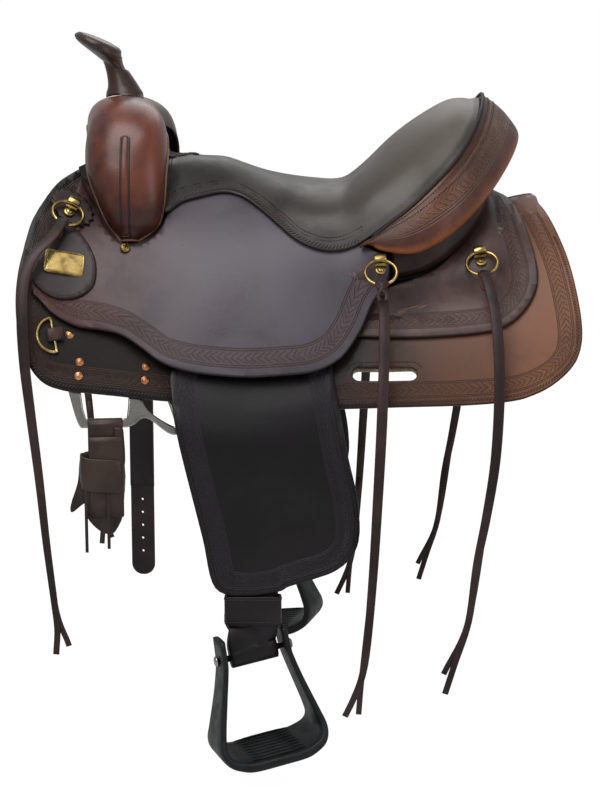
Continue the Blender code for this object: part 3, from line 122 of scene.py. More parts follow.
STRING_ROUTES = {
    "front": ((-0.305, -0.2095, -0.001), (-0.324, -0.233, -0.021),
              (-0.3345, -0.25, -0.05), (-0.336, -0.264, -0.095), (-0.333, -0.272, -0.15),
              (-0.326, -0.276, -0.215), (-0.318, -0.277, -0.29), (-0.311, -0.277, -0.37),
              (-0.303, -0.277, -0.445), (-0.3, -0.277, -0.48), (-0.302, -0.277, -0.512)),
    "middle": ((0.1035, -0.227, -0.095), (0.103, -0.245, -0.14),
               (0.101, -0.262, -0.19), (0.099, -0.27, -0.24), (0.095, -0.275, -0.32),
               (0.09, -0.278, -0.41), (0.083, -0.279, -0.5), (0.077, -0.279, -0.54),
               (0.067, -0.279, -0.568), (0.056, -0.279, -0.592)),
    "rear": ((0.2345, -0.208, -0.065), (0.24, -0.226, -0.095),
             (0.243, -0.245, -0.14), (0.243, -0.26, -0.195), (0.239, -0.266, -0.27),
             (0.229, -0.268, -0.34), (0.218, -0.269, -0.4), (0.209, -0.269, -0.472),
             (0.193, -0.269, -0.526), (0.181, -0.269, -0.566)),
}
TAIL_ENDS = {"front": (-0.286, -0.277, -0.502), "middle": (0.073, -0.279, -0.59),
             "rear": (0.179, -0.269, -0.541)}


def tone(red, green, blue):
    """A colour seen as that red, green and blue of 255, for a shader."""
    return tuple(((c / 255) / 12.92 if c <= 10 else ((c / 255 + 0.055) / 1.055) ** 2.4)
                 for c in (red, green, blue)) + (1.0,)


def eased(t, run, first, last, first_slope, last_slope):
    """Height at the share t of a smooth stretch with those heights and slopes at its ends."""
    return ((1 + 2 * t) * (1 - t) ** 2 * first + t * (1 - t) ** 2 * run * first_slope
            + t * t * (3 - 2 * t) * last + t * t * (t - 1) * run * last_slope)


def curve_value(points, x):
    """Height of a smooth line through (x, value) points."""
    x = min(max(x, points[0][0]), points[-1][0])
    i = 0
    while i < len(points) - 2 and x > points[i + 1][0]:
        i += 1

    def slope(k):
        a, b = points[max(k - 1, 0)], points[min(k + 1, len(points) - 1)]
        return (b[1] - a[1]) / (b[0] - a[0])

    (x0, y0), (x1, y1) = points[i], points[i + 1]
    run = x1 - x0
    return eased((x - x0) / run, run, y0, y1, slope(i), slope(i + 1))


def smooth_step(t):
    """The share t from 0 to 1, slow at both ends."""
    t = min(max(t, 0.0), 1.0)
    return t * t * (3 - 2 * t)


def smooth_path(points, steps, closed=False):
    """A smooth line through points of any dimension, with steps short stretches between two points."""
    points = [Vector(p) for p in points]
    count = len(points)
    path = []
    for i in range(count if closed else count - 1):
        if closed:
            a, b, c, d = (points[(i + k) % count] for k in (-1, 0, 1, 2))
        else:
            b, c = points[i], points[i + 1]
            a = points[i - 1] if i else b + (b - c)
            d = points[i + 2] if i + 2 < count else c + (c - b)
        for k in range(steps):
            t = k / steps
            path.append(0.5 * (2 * b + (c - a) * t + (2 * a - 5 * b + 4 * c - d) * t * t
                               + (3 * b - a - 3 * c + d) * t ** 3))
    if not closed:
        path.append(points[-1])
    return path


def on_horse(x, girth, height):
    """The point at that place along and round the horse, at that height; girth below 0 is the off side."""
    side = -1 if girth >= 0 else 1
    reach = abs(girth)
    slope = BACK_SLOPE + reach / BACK_RADIUS
    lean = slope * smooth_step(reach / CREST_WIDTH)
    rise = WITHERS_RISE if x < BACK_LOW_X else LOIN_RISE
    y = BACK_RADIUS * (math.sin(slope) - math.sin(BACK_SLOPE)) + height * math.sin(lean)
    z = rise * (x - BACK_LOW_X) ** 2 - BACK_DROP - BACK_RADIUS * (math.cos(BACK_SLOPE) - math.cos(slope))
    return Vector((x, side * y, z + height * math.cos(lean)))


def seat_form(x, girth):
    """Height over the horse of the jockeys' outer face, and of the same form under the padded seat."""
    line = [curve_value(points, x) for points in (CROWN, THIGH, LEG, HEM)]
    reach = min(abs(girth), LINE_GIRTH[-1])
    step = LINE_GIRTH[1]
    slopes = (math.sin(BACK_SLOPE), (line[2] - line[0]) / (2 * step), (line[3] - line[1]) / (2 * step), 0.0)
    i = min(int(reach / step), 2)
    return eased(reach / step - i, step, line[i], line[i + 1], slopes[i], slopes[i + 1])


def rear_jockey_in(x, girth):
    """Height of the rear jockey's inner face: on the skirt, and lifted over the end of the bar."""
    near_bar = smooth_step((0.272 - x) / 0.03) * smooth_step((0.2 - abs(girth)) / 0.04)
    across = max(0.0, 1 - ((abs(girth) - BAR_CREST_GIRTH) / BAR_HALF) ** 2)
    return SKIRT_OUT + 0.0008 + near_bar * (BAR_EDGE + (BAR_THICK - BAR_EDGE) * across + 0.0026)


def squared(way, along):
    """The part of a direction that is square to another."""
    return (way - way.dot(along) * along).normalized()


def heading(route, i):
    """Direction of an open route at its point i."""
    return (route[min(i + 1, len(route) - 1)] - route[max(i - 1, 0)]).normalized()


def axes_at(place, x_way, y_way, z_way):
    """Matrix at a place with those three axes."""
    return Matrix.Translation(place) @ Matrix((x_way, y_way, z_way)).transposed().to_4x4()


def surface_frame(x, girth, height):
    """Point on the near side with the directions along the saddle, down the girth and out."""
    place = on_horse(x, girth, height)
    ahead = (on_horse(x + 0.002, girth, height) - place).normalized()
    down = squared((on_horse(x, girth + 0.002, height) - place).normalized(), ahead)
    out = ahead.cross(down)
    return place, ahead, down, out if out.y < 0 else -out


def ring_frame(name):
    """Matrix of a near ring's clip: X along the saddle, Y down and Z out, at the leather under the clip."""
    x, girth = RING_PLACES[name]
    under = rear_jockey_in(x, girth) + JOCKEY if name == "rear" else seat_form(x, girth)
    return axes_at(*surface_frame(x, girth, under + CLIP_SEAT[name]))


def place_node(tree, kind, inputs=(), **settings):
    """Adds a node; each of its inputs is given a value or another node's output."""
    node = tree.nodes.new(kind)
    for key, value in settings.items():
        setattr(node, key, value)
    for key, value in dict(inputs).items():
        if isinstance(value, bpy.types.NodeSocket):
            tree.links.new(value, node.inputs[key])
        else:
            node.inputs[key].default_value = value
    return node


def sum_node(tree, operation, *values, clamp=False):
    """Output of a math node on one, two or three values."""
    return place_node(tree, "ShaderNodeMath", enumerate(values), operation=operation,
                      use_clamp=clamp).outputs[0]


def spread(tree, value, low, high, first=0.0, last=1.0):
    """Output that goes smoothly from first at low to last at high."""
    inputs = {"Value": value, "From Min": low, "From Max": high, "To Min": first, "To Max": last}
    return place_node(tree, "ShaderNodeMapRange", inputs, interpolation_type="SMOOTHSTEP").outputs[0]


def blend_colour(tree, share, first, second, how="MIX"):
    """Output colour between two others."""
    inputs = {0: share, 6: first, 7: second}
    return place_node(tree, "ShaderNodeMix", inputs, data_type="RGBA", blend_type=how).outputs[2]


def object_place(tree):
    """Output with the place on the piece."""
    return tree.nodes.new("ShaderNodeTexCoord").outputs["Object"]


def carried(tree, name):
    """Output with a value that the piece's points carry."""
    return place_node(tree, "ShaderNodeAttribute", attribute_name=name).outputs["Fac"]


def noise_node(tree, scale, detail, distortion=0.0, roughness=0.5):
    """Output of smooth noise on the place on the piece."""
    inputs = {"Vector": object_place(tree), "Scale": scale, "Detail": detail, "Distortion": distortion,
              "Roughness": roughness}
    return place_node(tree, "ShaderNodeTexNoise", inputs).outputs[0]


def cells_node(tree, scale):
    """Output of small cells on the place on the piece."""
    inputs = {"Vector": object_place(tree), "Scale": scale}
    return place_node(tree, "ShaderNodeTexVoronoi", inputs).outputs["Distance"]


def bump_node(tree, height, strength, distance, **more):
    """Output normal that follows a height."""
    inputs = {"Height": height, "Strength": strength, "Distance": distance, **more}
    return place_node(tree, "ShaderNodeBump", inputs).outputs[0]


def away_from(tree, value, middle):
    """Output of how far a value lies from a middle one."""
    return sum_node(tree, "ABSOLUTE", sum_node(tree, "SUBTRACT", value, middle))


def new_group(name, given, made, tree_kind="ShaderNodeTree", kinds=()):
    """An empty node group with its input node's outputs and its output node.

    given holds the inputs with their starts and made the outputs. kinds names those that aren't numbers.
    """
    group = bpy.data.node_groups.new(name, tree_kind)
    kinds = dict(kinds)
    for way, sockets in (("INPUT", given), ("OUTPUT", dict.fromkeys(made))):
        for label, start in sockets.items():
            kind = "NodeSocket" + kinds.get(label, "Float")
            socket = group.interface.new_socket(name=label, in_out=way, socket_type=kind)
            if start is not None:
                socket.default_value = start
    return group, group.nodes.new("NodeGroupInput").outputs, group.nodes.new("NodeGroupOutput")


def new_material(name):
    """A material with its tree and its shader."""
    made = bpy.data.materials.new(name)
    made.use_nodes = True
    return made, made.node_tree, made.node_tree.nodes["Principled BSDF"]


def connect(tree, shader, colour, roughness, normal):
    """Links the three outputs that every finish has to its shader."""
    for key, value in (("Base Color", colour), ("Roughness", roughness), ("Normal", normal)):
        tree.links.new(value, shader.inputs[key])


def make_hide():
    """Clouds of dye, pores and soft creases, on Object coordinates."""
    tree, given, result = new_group("hide", {"Grain": 900.0, "Crease": 0.3}, ("Clouds", "Height"))
    clouds = noise_node(tree, 9.0, 5.0, distortion=0.4, roughness=0.62)
    tree.links.new(spread(tree, clouds, 0.36, 0.66), result.inputs["Clouds"])
    fold = sum_node(tree, "MULTIPLY", noise_node(tree, 42.0, 3.0, distortion=1.6), given["Crease"])
    height = sum_node(tree, "MULTIPLY_ADD", cells_node(tree, given["Grain"]), 0.5, fold)
    tree.links.new(height, result.inputs["Height"])
    return tree


def make_tooling():
    """A stamped border that follows an edge: two pairs of lines with a row of feathered leaves between.

    It reads the distance from the edge, rim, the length along it, run, and where it is tooled, and puts out
    how deep it is cut.
    """
    tree, given, result = new_group("tooling", {"Inset": 0.014, "Width": 0.017, "Period": 0.0085}, ("Cut",))
    across = sum_node(tree, "DIVIDE", sum_node(tree, "SUBTRACT", carried(tree, "rim"), given["Inset"]),
                      given["Width"])
    arm = away_from(tree, across, 0.5)
    reach = sum_node(tree, "MULTIPLY", arm, given["Width"])
    along = sum_node(tree, "MULTIPLY_ADD", reach, -1.5, carried(tree, "run"))
    beat = sum_node(tree, "DIVIDE", along, given["Period"])
    phase = sum_node(tree, "MULTIPLY_ADD", noise_node(tree, 130.0, 1.0), 0.5, beat)
    stroke = away_from(tree, sum_node(tree, "FRACT", phase), 0.5)
    vein = away_from(tree, sum_node(tree, "FRACT", sum_node(tree, "MULTIPLY", phase, 3.0)), 0.5)
    veins = spread(tree, vein, 0.3, 0.48, 0.0, 0.5)
    leaf = sum_node(tree, "MAXIMUM", spread(tree, stroke, 0.36, 0.47), veins)
    inside = spread(tree, arm, 0.36, 0.43, 1.0, 0.0)
    lines = sum_node(tree, "MAXIMUM", *(spread(tree, away_from(tree, arm, line), 0.02, 0.05, 1.0, 0.0)
                                        for line in (0.5, 0.64)))
    cut = sum_node(tree, "MAXIMUM", sum_node(tree, "MULTIPLY", leaf, inside), lines)
    tree.links.new(sum_node(tree, "MULTIPLY", cut, carried(tree, "tooled")), result.inputs["Cut"])
    return tree


hide_group = make_hide()
tooling_group = make_tooling()


def leather(name, deep, warm, roughness=0.4, grain=900.0, crease=0.3, band=None, rim=None, far=None,
            edge=None, coat=0.0):
    """Dyed leather between two tones, each given as red, green and blue of 255.

    band is a tooled border's (inset, width, light tone), the light tone lying on the edges of the cuts as
    burnish and a painted highlight, and rim a burnished edge's (tone, width). far is another tone that the
    colour goes to along the saddle, with the two places between which it does (a painted sheen on the seat
    jockeys and the seat), and edge the same by the distance from the rim.
    """
    made, tree, shader = new_material(name)
    hide = place_node(tree, "ShaderNodeGroup", {"Grain": grain, "Crease": crease}, node_tree=hide_group)
    clouds = hide.outputs["Clouds"]
    deep = tone(*deep)
    colour = blend_colour(tree, clouds, deep, tone(*warm))
    if far:
        shade, near_x, far_x = far
        axis = place_node(tree, "ShaderNodeSeparateXYZ", {0: object_place(tree)}).outputs["X"]
        wander = sum_node(tree, "MULTIPLY_ADD", clouds, 0.05, axis)
        colour = blend_colour(tree, spread(tree, wander, near_x, far_x), colour, tone(*shade))
        colour = blend_colour(tree, sum_node(tree, "MULTIPLY", clouds, 0.35), colour, deep)
    if edge:
        shade, first, last = edge
        wander = sum_node(tree, "MULTIPLY_ADD", clouds, 0.004, carried(tree, "rim"))
        colour = blend_colour(tree, spread(tree, wander, first, last), colour, tone(*shade))
    polish = spread(tree, clouds, 0.0, 1.0, roughness + 0.06, roughness - 0.04)
    normal = bump_node(tree, hide.outputs["Height"], 0.22, 0.0009)
    if band:
        inset, width, shade = band
        cut = place_node(tree, "ShaderNodeGroup", {"Inset": inset, "Width": width},
                         node_tree=tooling_group).outputs["Cut"]
        # worn: the border's light tone on the edges of the cuts, partly burnish and partly a painted
        # highlight.
        worn = blend_colour(tree, 0.45, colour, tone(*shade))
        edge_lit = sum_node(tree, "MULTIPLY", spread(tree, cut, 0.02, 0.22), 0.75)
        colour = blend_colour(tree, edge_lit, colour, worn)
        depth = sum_node(tree, "MULTIPLY", spread(tree, cut, 0.35, 0.8), 0.7)
        colour = blend_colour(tree, depth, colour, tone(8, 5, 5))
        normal = bump_node(tree, sum_node(tree, "SUBTRACT", 1.0, cut), 0.9, 0.0016, Normal=normal)
    if rim:
        shade, width = rim
        burnt = spread(tree, carried(tree, "rim"), width * 0.4, width, 0.85, 0.0)
        colour = blend_colour(tree, burnt, colour, tone(*shade))
    connect(tree, shader, colour, polish, normal)
    shader.inputs["Specular IOR Level"].default_value = 0.25
    shader.inputs["Coat Weight"].default_value = coat
    shader.inputs["Coat Roughness"].default_value = 0.28
    return made


def solid_piece(name, verts, faces, material, slot, rim=None, run=None, tooled=None):
    """A closed mesh object with its material, its edge distances and its record's slot."""
    mesh = bpy.data.meshes.new(name)
    mesh.from_pydata([tuple(v) for v in verts], [], faces)
    made = bmesh.new()
    made.from_mesh(mesh)
    bmesh.ops.recalc_face_normals(made, faces=made.faces)
    made.to_mesh(mesh)
    made.free()
    if rim is not None and tooled is None:
        tooled = np.ones(len(verts))
    for label, values in (("rim", rim), ("run", run), ("tooled", tooled)):
        if values is not None:
            numbers = np.asarray(values, dtype=float)
            mesh.attributes.new(label, "FLOAT", "POINT").data.foreach_set("value", numbers)
    mesh.shade_smooth()
    mesh.materials.append(material)
    obj = put(name, mesh)
    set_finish(obj, slot)
    return obj


def loft(name, rings, material, slot, closed=False, rim=None, run=None):
    """A closed mesh through rings of points. rim is given round the ring, and run along the rings."""
    size = len(rings[0])
    count = len(rings)
    faces = []
    for i in range(count if closed else count - 1):
        first, second = i * size, (i + 1) % count * size
        for k in range(size):
            n = (k + 1) % size
            faces.append((first + k, first + n, second + n, second + k))
    verts = [p for ring in rings for p in ring]
    if not closed:
        for start, flip in ((0, True), ((count - 1) * size, False)):
            middle = len(verts)
            verts.append(sum((Vector(verts[start + k]) for k in range(size)), Vector()) / size)
            for k in range(size):
                face = (start + k, start + (k + 1) % size, middle)
                faces.append(tuple(reversed(face)) if flip else face)
    spare = len(verts) - count * size
    if rim is not None and isinstance(rim[0], (list, tuple)):
        rims = [r for one in rim for r in one] + [0.0] * spare
    else:
        rims = list(rim) * count + [0.0] * spare if rim is not None else None
    runs = [r for r in run for _ in range(size)] + [0.0] * spare if run is not None else None
    return solid_piece(name, verts, faces, material, slot, rims, runs)


def twin(obj, name):
    """The off-side copy of a near-side piece."""
    mesh = obj.data.copy()
    mesh.name = name
    mesh.transform(Matrix.Scale(-1, 4, (0, 1, 0)))
    mesh.flip_normals()
    made = put(name, mesh)
    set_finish(made, obj["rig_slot"])
    return made


def strap(name, route, width_at, thick_at, across, material, slot, corner=0.35):
    """A leather strap with rounded edges along a route; width_at and thick_at take the share of the way."""
    rings = []
    runs = [0.0]
    for i, place in enumerate(route):
        along = heading(route, i)
        side = squared(across, along)
        face = along.cross(side).normalized()
        share = i / (len(route) - 1)
        w, t = width_at(share) / 2, thick_at(share) / 2
        c = min(t * 0.9, w * corner)
        rings.append([place + side * sx * (w - c * (1 - math.cos(a))) + face * sz * t * math.sin(a)
                      for sx, sz, a in ((1, -1, 0.5), (1, 1, 0.5), (1, 1, 1.57), (-1, 1, 1.57), (-1, 1, 0.5),
                                        (-1, -1, 0.5), (-1, -1, 1.57), (1, -1, 1.57))])
        if i:
            runs.append(runs[-1] + (place - route[i - 1]).length)
    rim = (0, 0, 0.004, 0.004, 0, 0, 0.004, 0.004)
    return loft(name, rings, material, slot, rim=rim, run=runs)


lace_leather = leather("lace_leather", (32, 22, 21), (56, 40, 38), 0.44, grain=1400.0, crease=0.5,
                       rim=((84, 44, 34), 0.0026))


def gathered(name, parts, slot):
    """One piece from several of one material."""
    verts, faces, rims = [], [], []
    for part in parts:
        start = len(verts)
        verts += [v.co.copy() for v in part.data.vertices]
        faces += [[start + k for k in p.vertices] for p in part.data.polygons]
        rims += [item.value for item in part.data.attributes["rim"].data]
    obj = solid_piece(name, verts, faces, parts[0].data.materials[0], slot, rims, [0.0] * len(verts))
    for part in parts:
        bpy.data.objects.remove(part)
    return obj


def on_side(place, sign):
    """A near-side place as a point, with sign -1 on the off side."""
    return Vector((place[0], place[1] * sign, place[2]))


def slit_knot(name, matrix, sign):
    """The lace drawn through its own slit round the ring: a loop over the wire and two crossing strands."""
    low = 2 * RING_RADIUS
    loop = [(0, low + 0.016, 0.0016), (0, low + 0.004, 0.001), (0, low - 0.004, 0.0028),
            (0, low - 0.0036, 0.008), (0, low + 0.003, 0.0102), (0, low + 0.012, 0.0098),
            (0, low + 0.02, 0.0088)]
    first = [(-0.0052, low - 0.0022, 0.0082), (-0.0062, low + 0.005, 0.0104), (0.0005, low + 0.014, 0.0122),
             (0.005, low + 0.021, 0.0098), (0.0038, low + 0.028, 0.0074)]
    second = [(0.0052, low - 0.0022, 0.0082), (0.0062, low + 0.005, 0.0104), (-0.0005, low + 0.013, 0.0136),
              (-0.005, low + 0.021, 0.01), (-0.0036, low + 0.028, 0.0074)]
    parts = []
    for k, (way, width) in enumerate(((loop, 0.0092), (first, 0.005), (second, 0.005))):
        route = [on_side(p, sign) for p in smooth_path([matrix @ Vector(p) for p in way], 5)]
        parts.append(strap(f"{name}_{k}", route, lambda t: width, lambda t: 0.003, STRING_FLAT, lace_leather,
                           "lace_brown"))
    return gathered(name, parts, "lace_brown")


for label, places in STRING_ROUTES.items():
    for side, sign in (("left", 1), ("right", -1)):
        near = ring_frame(label)
        stand = RING_STAND + RING_WIRE + STRING_THICK / 2 + STRING_LIFT[label]
        points = [on_side(p, sign) for p in (near @ Vector((0, 2 * RING_RADIUS, stand)), *places)]
        route = smooth_path(points, 6)
        lace = strap(f"string_{label}_{side}_lace", route,
                     lambda t: STRING_WIDTH + (TAIL_WIDTH - STRING_WIDTH) * smooth_step((t - 0.35) / 0.6),
                     lambda t: STRING_THICK * 0.62 * (1 - 0.35 * t), STRING_FLAT, lace_leather, "lace_brown")
        behind = Vector((0, 0.0022 * sign, 0))
        tail_route = smooth_path([points[-5], points[-3], on_side(TAIL_ENDS[label], sign)], 6)
        tail = strap(f"string_{label}_{side}_tail", [p + behind for p in tail_route],
                     lambda t: TAIL_WIDTH * 0.92, lambda t: TAIL_THICK * (0.95 - 0.3 * t), STRING_FLAT,
                     lace_leather, "lace_brown")
        knot = slit_knot(f"string_{label}_{side}_knot", near, sign)
        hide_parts(f"string_{label}_{side}")
        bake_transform(lace)
        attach(tail, "saddle")
        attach(knot, f"ring_{label}_{side}")


# Studio: a pale floor and backdrop under four soft lamps, one each in front, at the rear end, above the seat
# and behind. None of it belongs to the saddle.
FLOOR_Z = -0.68
FLOOR_X = 7
FLOOR_Y = (-4, 10)
LAMPS = (("key", (-0.9, -2.1, 1.5), 1.3, 22.0), ("side", (1.9, -1.5, 0.6), 1.4, 9.0),
         ("above", (-0.35, -0.7, 1.75), 1.3, 26.0), ("behind", (0.2, 1.7, 1.5), 1.4, 9.0))
LAMPS_AIM = Vector((0, 0, -0.15))


def seen_as_white(tree):
    """1 for rays that come from the camera, and a smaller share for those that mirror the backdrop."""
    path = tree.nodes.new("ShaderNodeLightPath").outputs
    mirrored = sum_node(tree, "MAXIMUM", path["Is Glossy Ray"], path["Is Transmission Ray"])
    return sum_node(tree, "MAXIMUM", path["Is Camera Ray"], sum_node(tree, "MULTIPLY", mirrored, 0.25))


def mix_output(tree, share, first, second, kind):
    """Puts two shaders mixed by a share on a tree's output."""
    mixed = place_node(tree, "ShaderNodeMixShader", {0: share, 1: first, 2: second})
    tree.links.new(mixed.outputs[0], tree.nodes[kind].inputs["Surface"])


floor_mesh = bpy.data.meshes.new("floor")
near_y, far_y = FLOOR_Y
corners = ((-FLOOR_X, near_y), (FLOOR_X, near_y), (FLOOR_X, far_y), (-FLOOR_X, far_y))
floor_mesh.from_pydata([(*p, FLOOR_Z) for p in corners], [], [(0, 1, 2, 3)])
put("floor", floor_mesh)
paper, tree, shader = new_material("paper")
shader.inputs["Base Color"].default_value = (0.8, 0.8, 0.79, 1)
shader.inputs["Roughness"].default_value = 0.9
glow = place_node(tree, "ShaderNodeEmission", {"Color": (1, 1, 1, 1), "Strength": 1.18})
share = sum_node(tree, "MULTIPLY", seen_as_white(tree), 0.82)
mix_output(tree, share, shader.outputs[0], glow.outputs[0], "Material Output")
floor_mesh.materials.append(paper)

world = bpy.data.worlds.new("studio")
bpy.context.scene.world = world
world.use_nodes = True
tree = world.node_tree
light = tree.nodes["Background"]
light.inputs["Color"].default_value = (0.93, 0.96, 1.0, 1)
light.inputs["Strength"].default_value = 0.28
white = place_node(tree, "ShaderNodeBackground", {"Color": (1, 1, 1, 1), "Strength": 1.0})
mix_output(tree, seen_as_white(tree), light.outputs[0], white.outputs[0], "World Output")
for label, place, size, watts in LAMPS:
    lamp = bpy.data.lights.new(label, "AREA")
    lamp.energy = watts
    lamp.size = size
    holder = put(label, lamp)
    holder.location = place
    holder.rotation_euler = (Vector(place) - LAMPS_AIM).to_track_quat("Z", "Y").to_euler()


# The tree: two wooden bars along the horse's back, the fork and the cantle across them, all of it covered
# with shrunk and oiled rawhide. It shows only from below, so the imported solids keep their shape.
rawhide = leather("rawhide", (20, 13, 11), (36, 24, 20), 0.6, grain=420.0, crease=0.8)
for name in ("tree_bar_left", "tree_bar_right", "tree_cantle", "tree_fork"):
    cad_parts[name].material_slots[0].material = rawhide


# The fleece: sheepskin with the wool left on, glued and sewn under each skirt. The girth is the distance
# round the horse; every layer of leather is an outline laid on that form between two heights.
GAP = 0.0008
LAID_GAP = 0.0013
FLEECE = 0.0138
PLATE = 0.003
PLATE_IN = SKIRT_IN - LAID_GAP - PLATE
PLATE_TOP_Z = -0.1
SKIRT_OUTLINE = (
    (0.3, 0.008), (0.315, 0.039), (0.328, 0.088), (0.34, 0.148), (0.347, 0.203), (0.35, 0.246),
    (0.347, 0.275), (0.336, 0.296), (0.314, 0.312), (0.288, 0.321), (0.25, 0.324), (0.121, 0.317),
    (0.0, 0.32), (-0.1, 0.33), (-0.198, 0.35), (-0.252, 0.365), (-0.288, 0.377), (-0.315, 0.379),
    (-0.335, 0.362), (-0.344, 0.336), (-0.348, 0.301), (-0.347, 0.265), (-0.342, 0.228), (-0.335, 0.184),
    (-0.323, 0.143), (-0.31, 0.104), (-0.293, 0.071), (-0.281, 0.051), (-0.262, 0.036), (-0.2, 0.03),
    (0.0, 0.028), (0.2, 0.022),
)
FLANK_SLOT = ((0.073, 0.275), (0.137, 0.277))
SLOT_HALF = 0.009


def round_points(count, wide=1.0, high=1.0, powers=(1, 1)):
    """Points round an ellipse of two half sizes; powers below 1 square it up."""
    spots = []
    for k in range(count):
        c, s = math.cos(math.tau * k / count), math.sin(math.tau * k / count)
        spots.append((wide * math.copysign(abs(c) ** powers[0], c),
                      high * math.copysign(abs(s) ** powers[1], s)))
    return spots


def dense_outline(points, steps=6):
    """A smooth closed outline through the points."""
    return [tuple(p) for p in smooth_path(points, steps, closed=True)]


def edge_distances(outline, spots):
    """How far places lie from an outline, and how far round the outline."""
    start = np.array(outline)
    span = np.roll(start, -1, axis=0) - start
    square = np.maximum((span ** 2).sum(axis=1), 1e-14)
    before = np.concatenate(([0.0], np.cumsum(np.sqrt(square))[:-1]))
    away = np.array(spots)[:, None, :] - start
    share = np.clip((away * span).sum(axis=2) / square, 0, 1)
    reach = np.linalg.norm(away - share[:, :, None] * span, axis=2)
    best = reach.argmin(axis=1)
    rows = np.arange(len(spots))
    return reach[rows, best], before[best] + share[rows, best] * np.sqrt(square[best])


def inner_line(outline, inset):
    """The outline moved inwards by inset."""
    count = len(outline)
    area = sum(outline[i - 1][0] * outline[i][1] - outline[i][0] * outline[i - 1][1] for i in range(count))
    moved = []
    for i in range(count):
        (ax, ay), (bx, by) = outline[i - 1], outline[(i + 1) % count]
        away = Vector((by - ay, ax - bx)).normalized() * math.copysign(inset, area)
        moved.append((outline[i][0] - away.x, outline[i][1] - away.y))
    return moved


def cut_by(flat, faces, place, normal):
    """Cuts those faces of a flat bmesh along a line."""
    parts = set(faces)
    for face in faces:
        parts.update(face.edges)
        parts.update(face.verts)
    bmesh.ops.bisect_plane(flat, geom=list(parts), plane_co=(*place, 0), plane_no=(*normal, 0), dist=1e-6)


def flat_sheet(outline, cell, holes=()):
    """A flat bmesh of an outline, cut into cells, with convex holes."""
    flat = bmesh.new()
    flat.faces.new([flat.verts.new((x, y, 0)) for x, y in outline])
    for axis in (0, 1):
        for vert in flat.verts:
            line = round(vert.co[axis] / cell) * cell
            if abs(vert.co[axis] - line) < 0.0003:
                vert.co[axis] = line
        low = min(p[axis] for p in outline)
        high = max(p[axis] for p in outline)
        for k in range(math.ceil(low / cell), math.floor(high / cell) + 1):
            cut_by(flat, flat.faces[:], (k * cell, 0) if axis == 0 else (0, k * cell), (1 - axis, axis))
    for hole in holes:
        edges = [(Vector(hole[i - 1]), Vector(hole[i])) for i in range(len(hole))]
        xs, ys = [p[0] for p in hole], [p[1] for p in hole]
        for a, b in edges:
            near = [f for f in flat.faces if all(
                max(v.co[axis] for v in f.verts) > min(line) and min(v.co[axis] for v in f.verts) < max(line)
                for axis, line in enumerate((xs, ys)))]
            cut_by(flat, near, a, (b.y - a.y, a.x - b.x))
        gone = []
        for face in flat.faces:
            spot = face.calc_center_median().xy
            turns = [(b - a).cross(spot - a) for a, b in edges]
            if min(turns) > 0 or max(turns) < 0:
                gone.append(face)
        bmesh.ops.delete(flat, geom=gone, context="FACES")
    bmesh.ops.remove_doubles(flat, verts=flat.verts, dist=0.00008)
    bmesh.ops.triangulate(flat, faces=[f for f in flat.faces if len(f.verts) > 4])
    return flat


def panel(name, outline, cell, form, low, high, material, slot, holes=(), lip=0.0012, tooled=None):
    """A piece with rounded edges: an outline laid on a form from the height low to the height high.

    form(a, b, height) gives a point, and low and high are heights or functions of (a, b). tooled(a, b) says
    which of the outline's points have a border beside them.
    """
    flat = flat_sheet(inner_line(outline, lip), cell, holes)
    flat.verts.index_update()

    def level(value, a, b):
        return value(a, b) if callable(value) else value

    spots = [(v.co.x, v.co.y) for v in flat.verts]
    size = len(spots)
    heights = [(level(low, *p), level(high, *p)) for p in spots]
    verts = [form(*p, h[face]) for face in (1, 0) for p, h in zip(spots, heights)]
    spots = spots + spots
    faces = []
    for face in flat.faces:
        ids = [v.index for v in face.verts]
        faces.append(ids)
        faces.append([k + size for k in reversed(ids)])
    away = {}
    rim_edges = [e for e in flat.edges if e.is_boundary]
    for edge in rim_edges:
        a, b = edge.verts
        middle = edge.link_faces[0].calc_center_median()
        side = Vector((b.co.y - a.co.y, a.co.x - b.co.x)).normalized()
        if side.dot((a.co - middle).xy) < 0:
            side = -side
        for vert in (a, b):
            away[vert.index] = away.get(vert.index, Vector((0, 0))) + side
    chains = {}
    for k, side in away.items():
        side.normalize()
        chain = [k]
        for turn in (0.25, 0.5, 0.75):
            a = spots[k][0] + side.x * lip * math.sin(math.pi * turn)
            b = spots[k][1] + side.y * lip * math.sin(math.pi * turn)
            base, top = heights[k]
            chain.append(len(verts))
            verts.append(form(a, b, (base + top) / 2 + (top - base) / 2 * math.cos(math.pi * turn)))
            spots.append((a, b))
        chains[k] = [*chain, k + size]
    for edge in rim_edges:
        first, second = (chains[v.index] for v in edge.verts)
        for i in range(4):
            faces.append((first[i], second[i], second[i + 1], first[i + 1]))
    flat.free()
    rim, run = edge_distances(outline, spots)
    where = None
    if tooled:
        flags = [tooled(*p) for p in outline]
        with_border, _ = edge_distances([p for p, flag in zip(outline, flags) if flag], spots)
        plain, _ = edge_distances([p for p, flag in zip(outline, flags) if not flag], spots)
        where = np.clip(0.5 + (plain - with_border) / 0.003, 0, 1)
    return solid_piece(name, verts, faces, material, slot, rim, run, where)


def settle(obj, body, *nodes):
    """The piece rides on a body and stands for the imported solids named."""
    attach(obj, body)
    if nodes:
        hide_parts(*nodes)


def both_sides(obj, body="saddle", *nodes):
    """Settles a near-side piece and its off-side copy."""
    other = twin(obj, obj.name.replace("_left", "_right"))
    settle(obj, body, *nodes)
    settle(other, body.replace("_left", "_right"), *(n.replace("_left", "_right") for n in nodes))
    return obj, other


def girth_at(x, z, height):
    """Girth at which the near side reaches that z."""
    low, high = 0.0, 0.6
    for _ in range(30):
        middle = (low + high) / 2
        if on_horse(x, middle, height).z > z:
            low = middle
        else:
            high = middle
    return low


def plate_top_girth(x):
    """Girth of the rigging plate's upper edge, or a large one away from the plate."""
    return 1.0 if x > -0.13 else girth_at(min(x, -0.168), PLATE_TOP_Z, PLATE_IN)


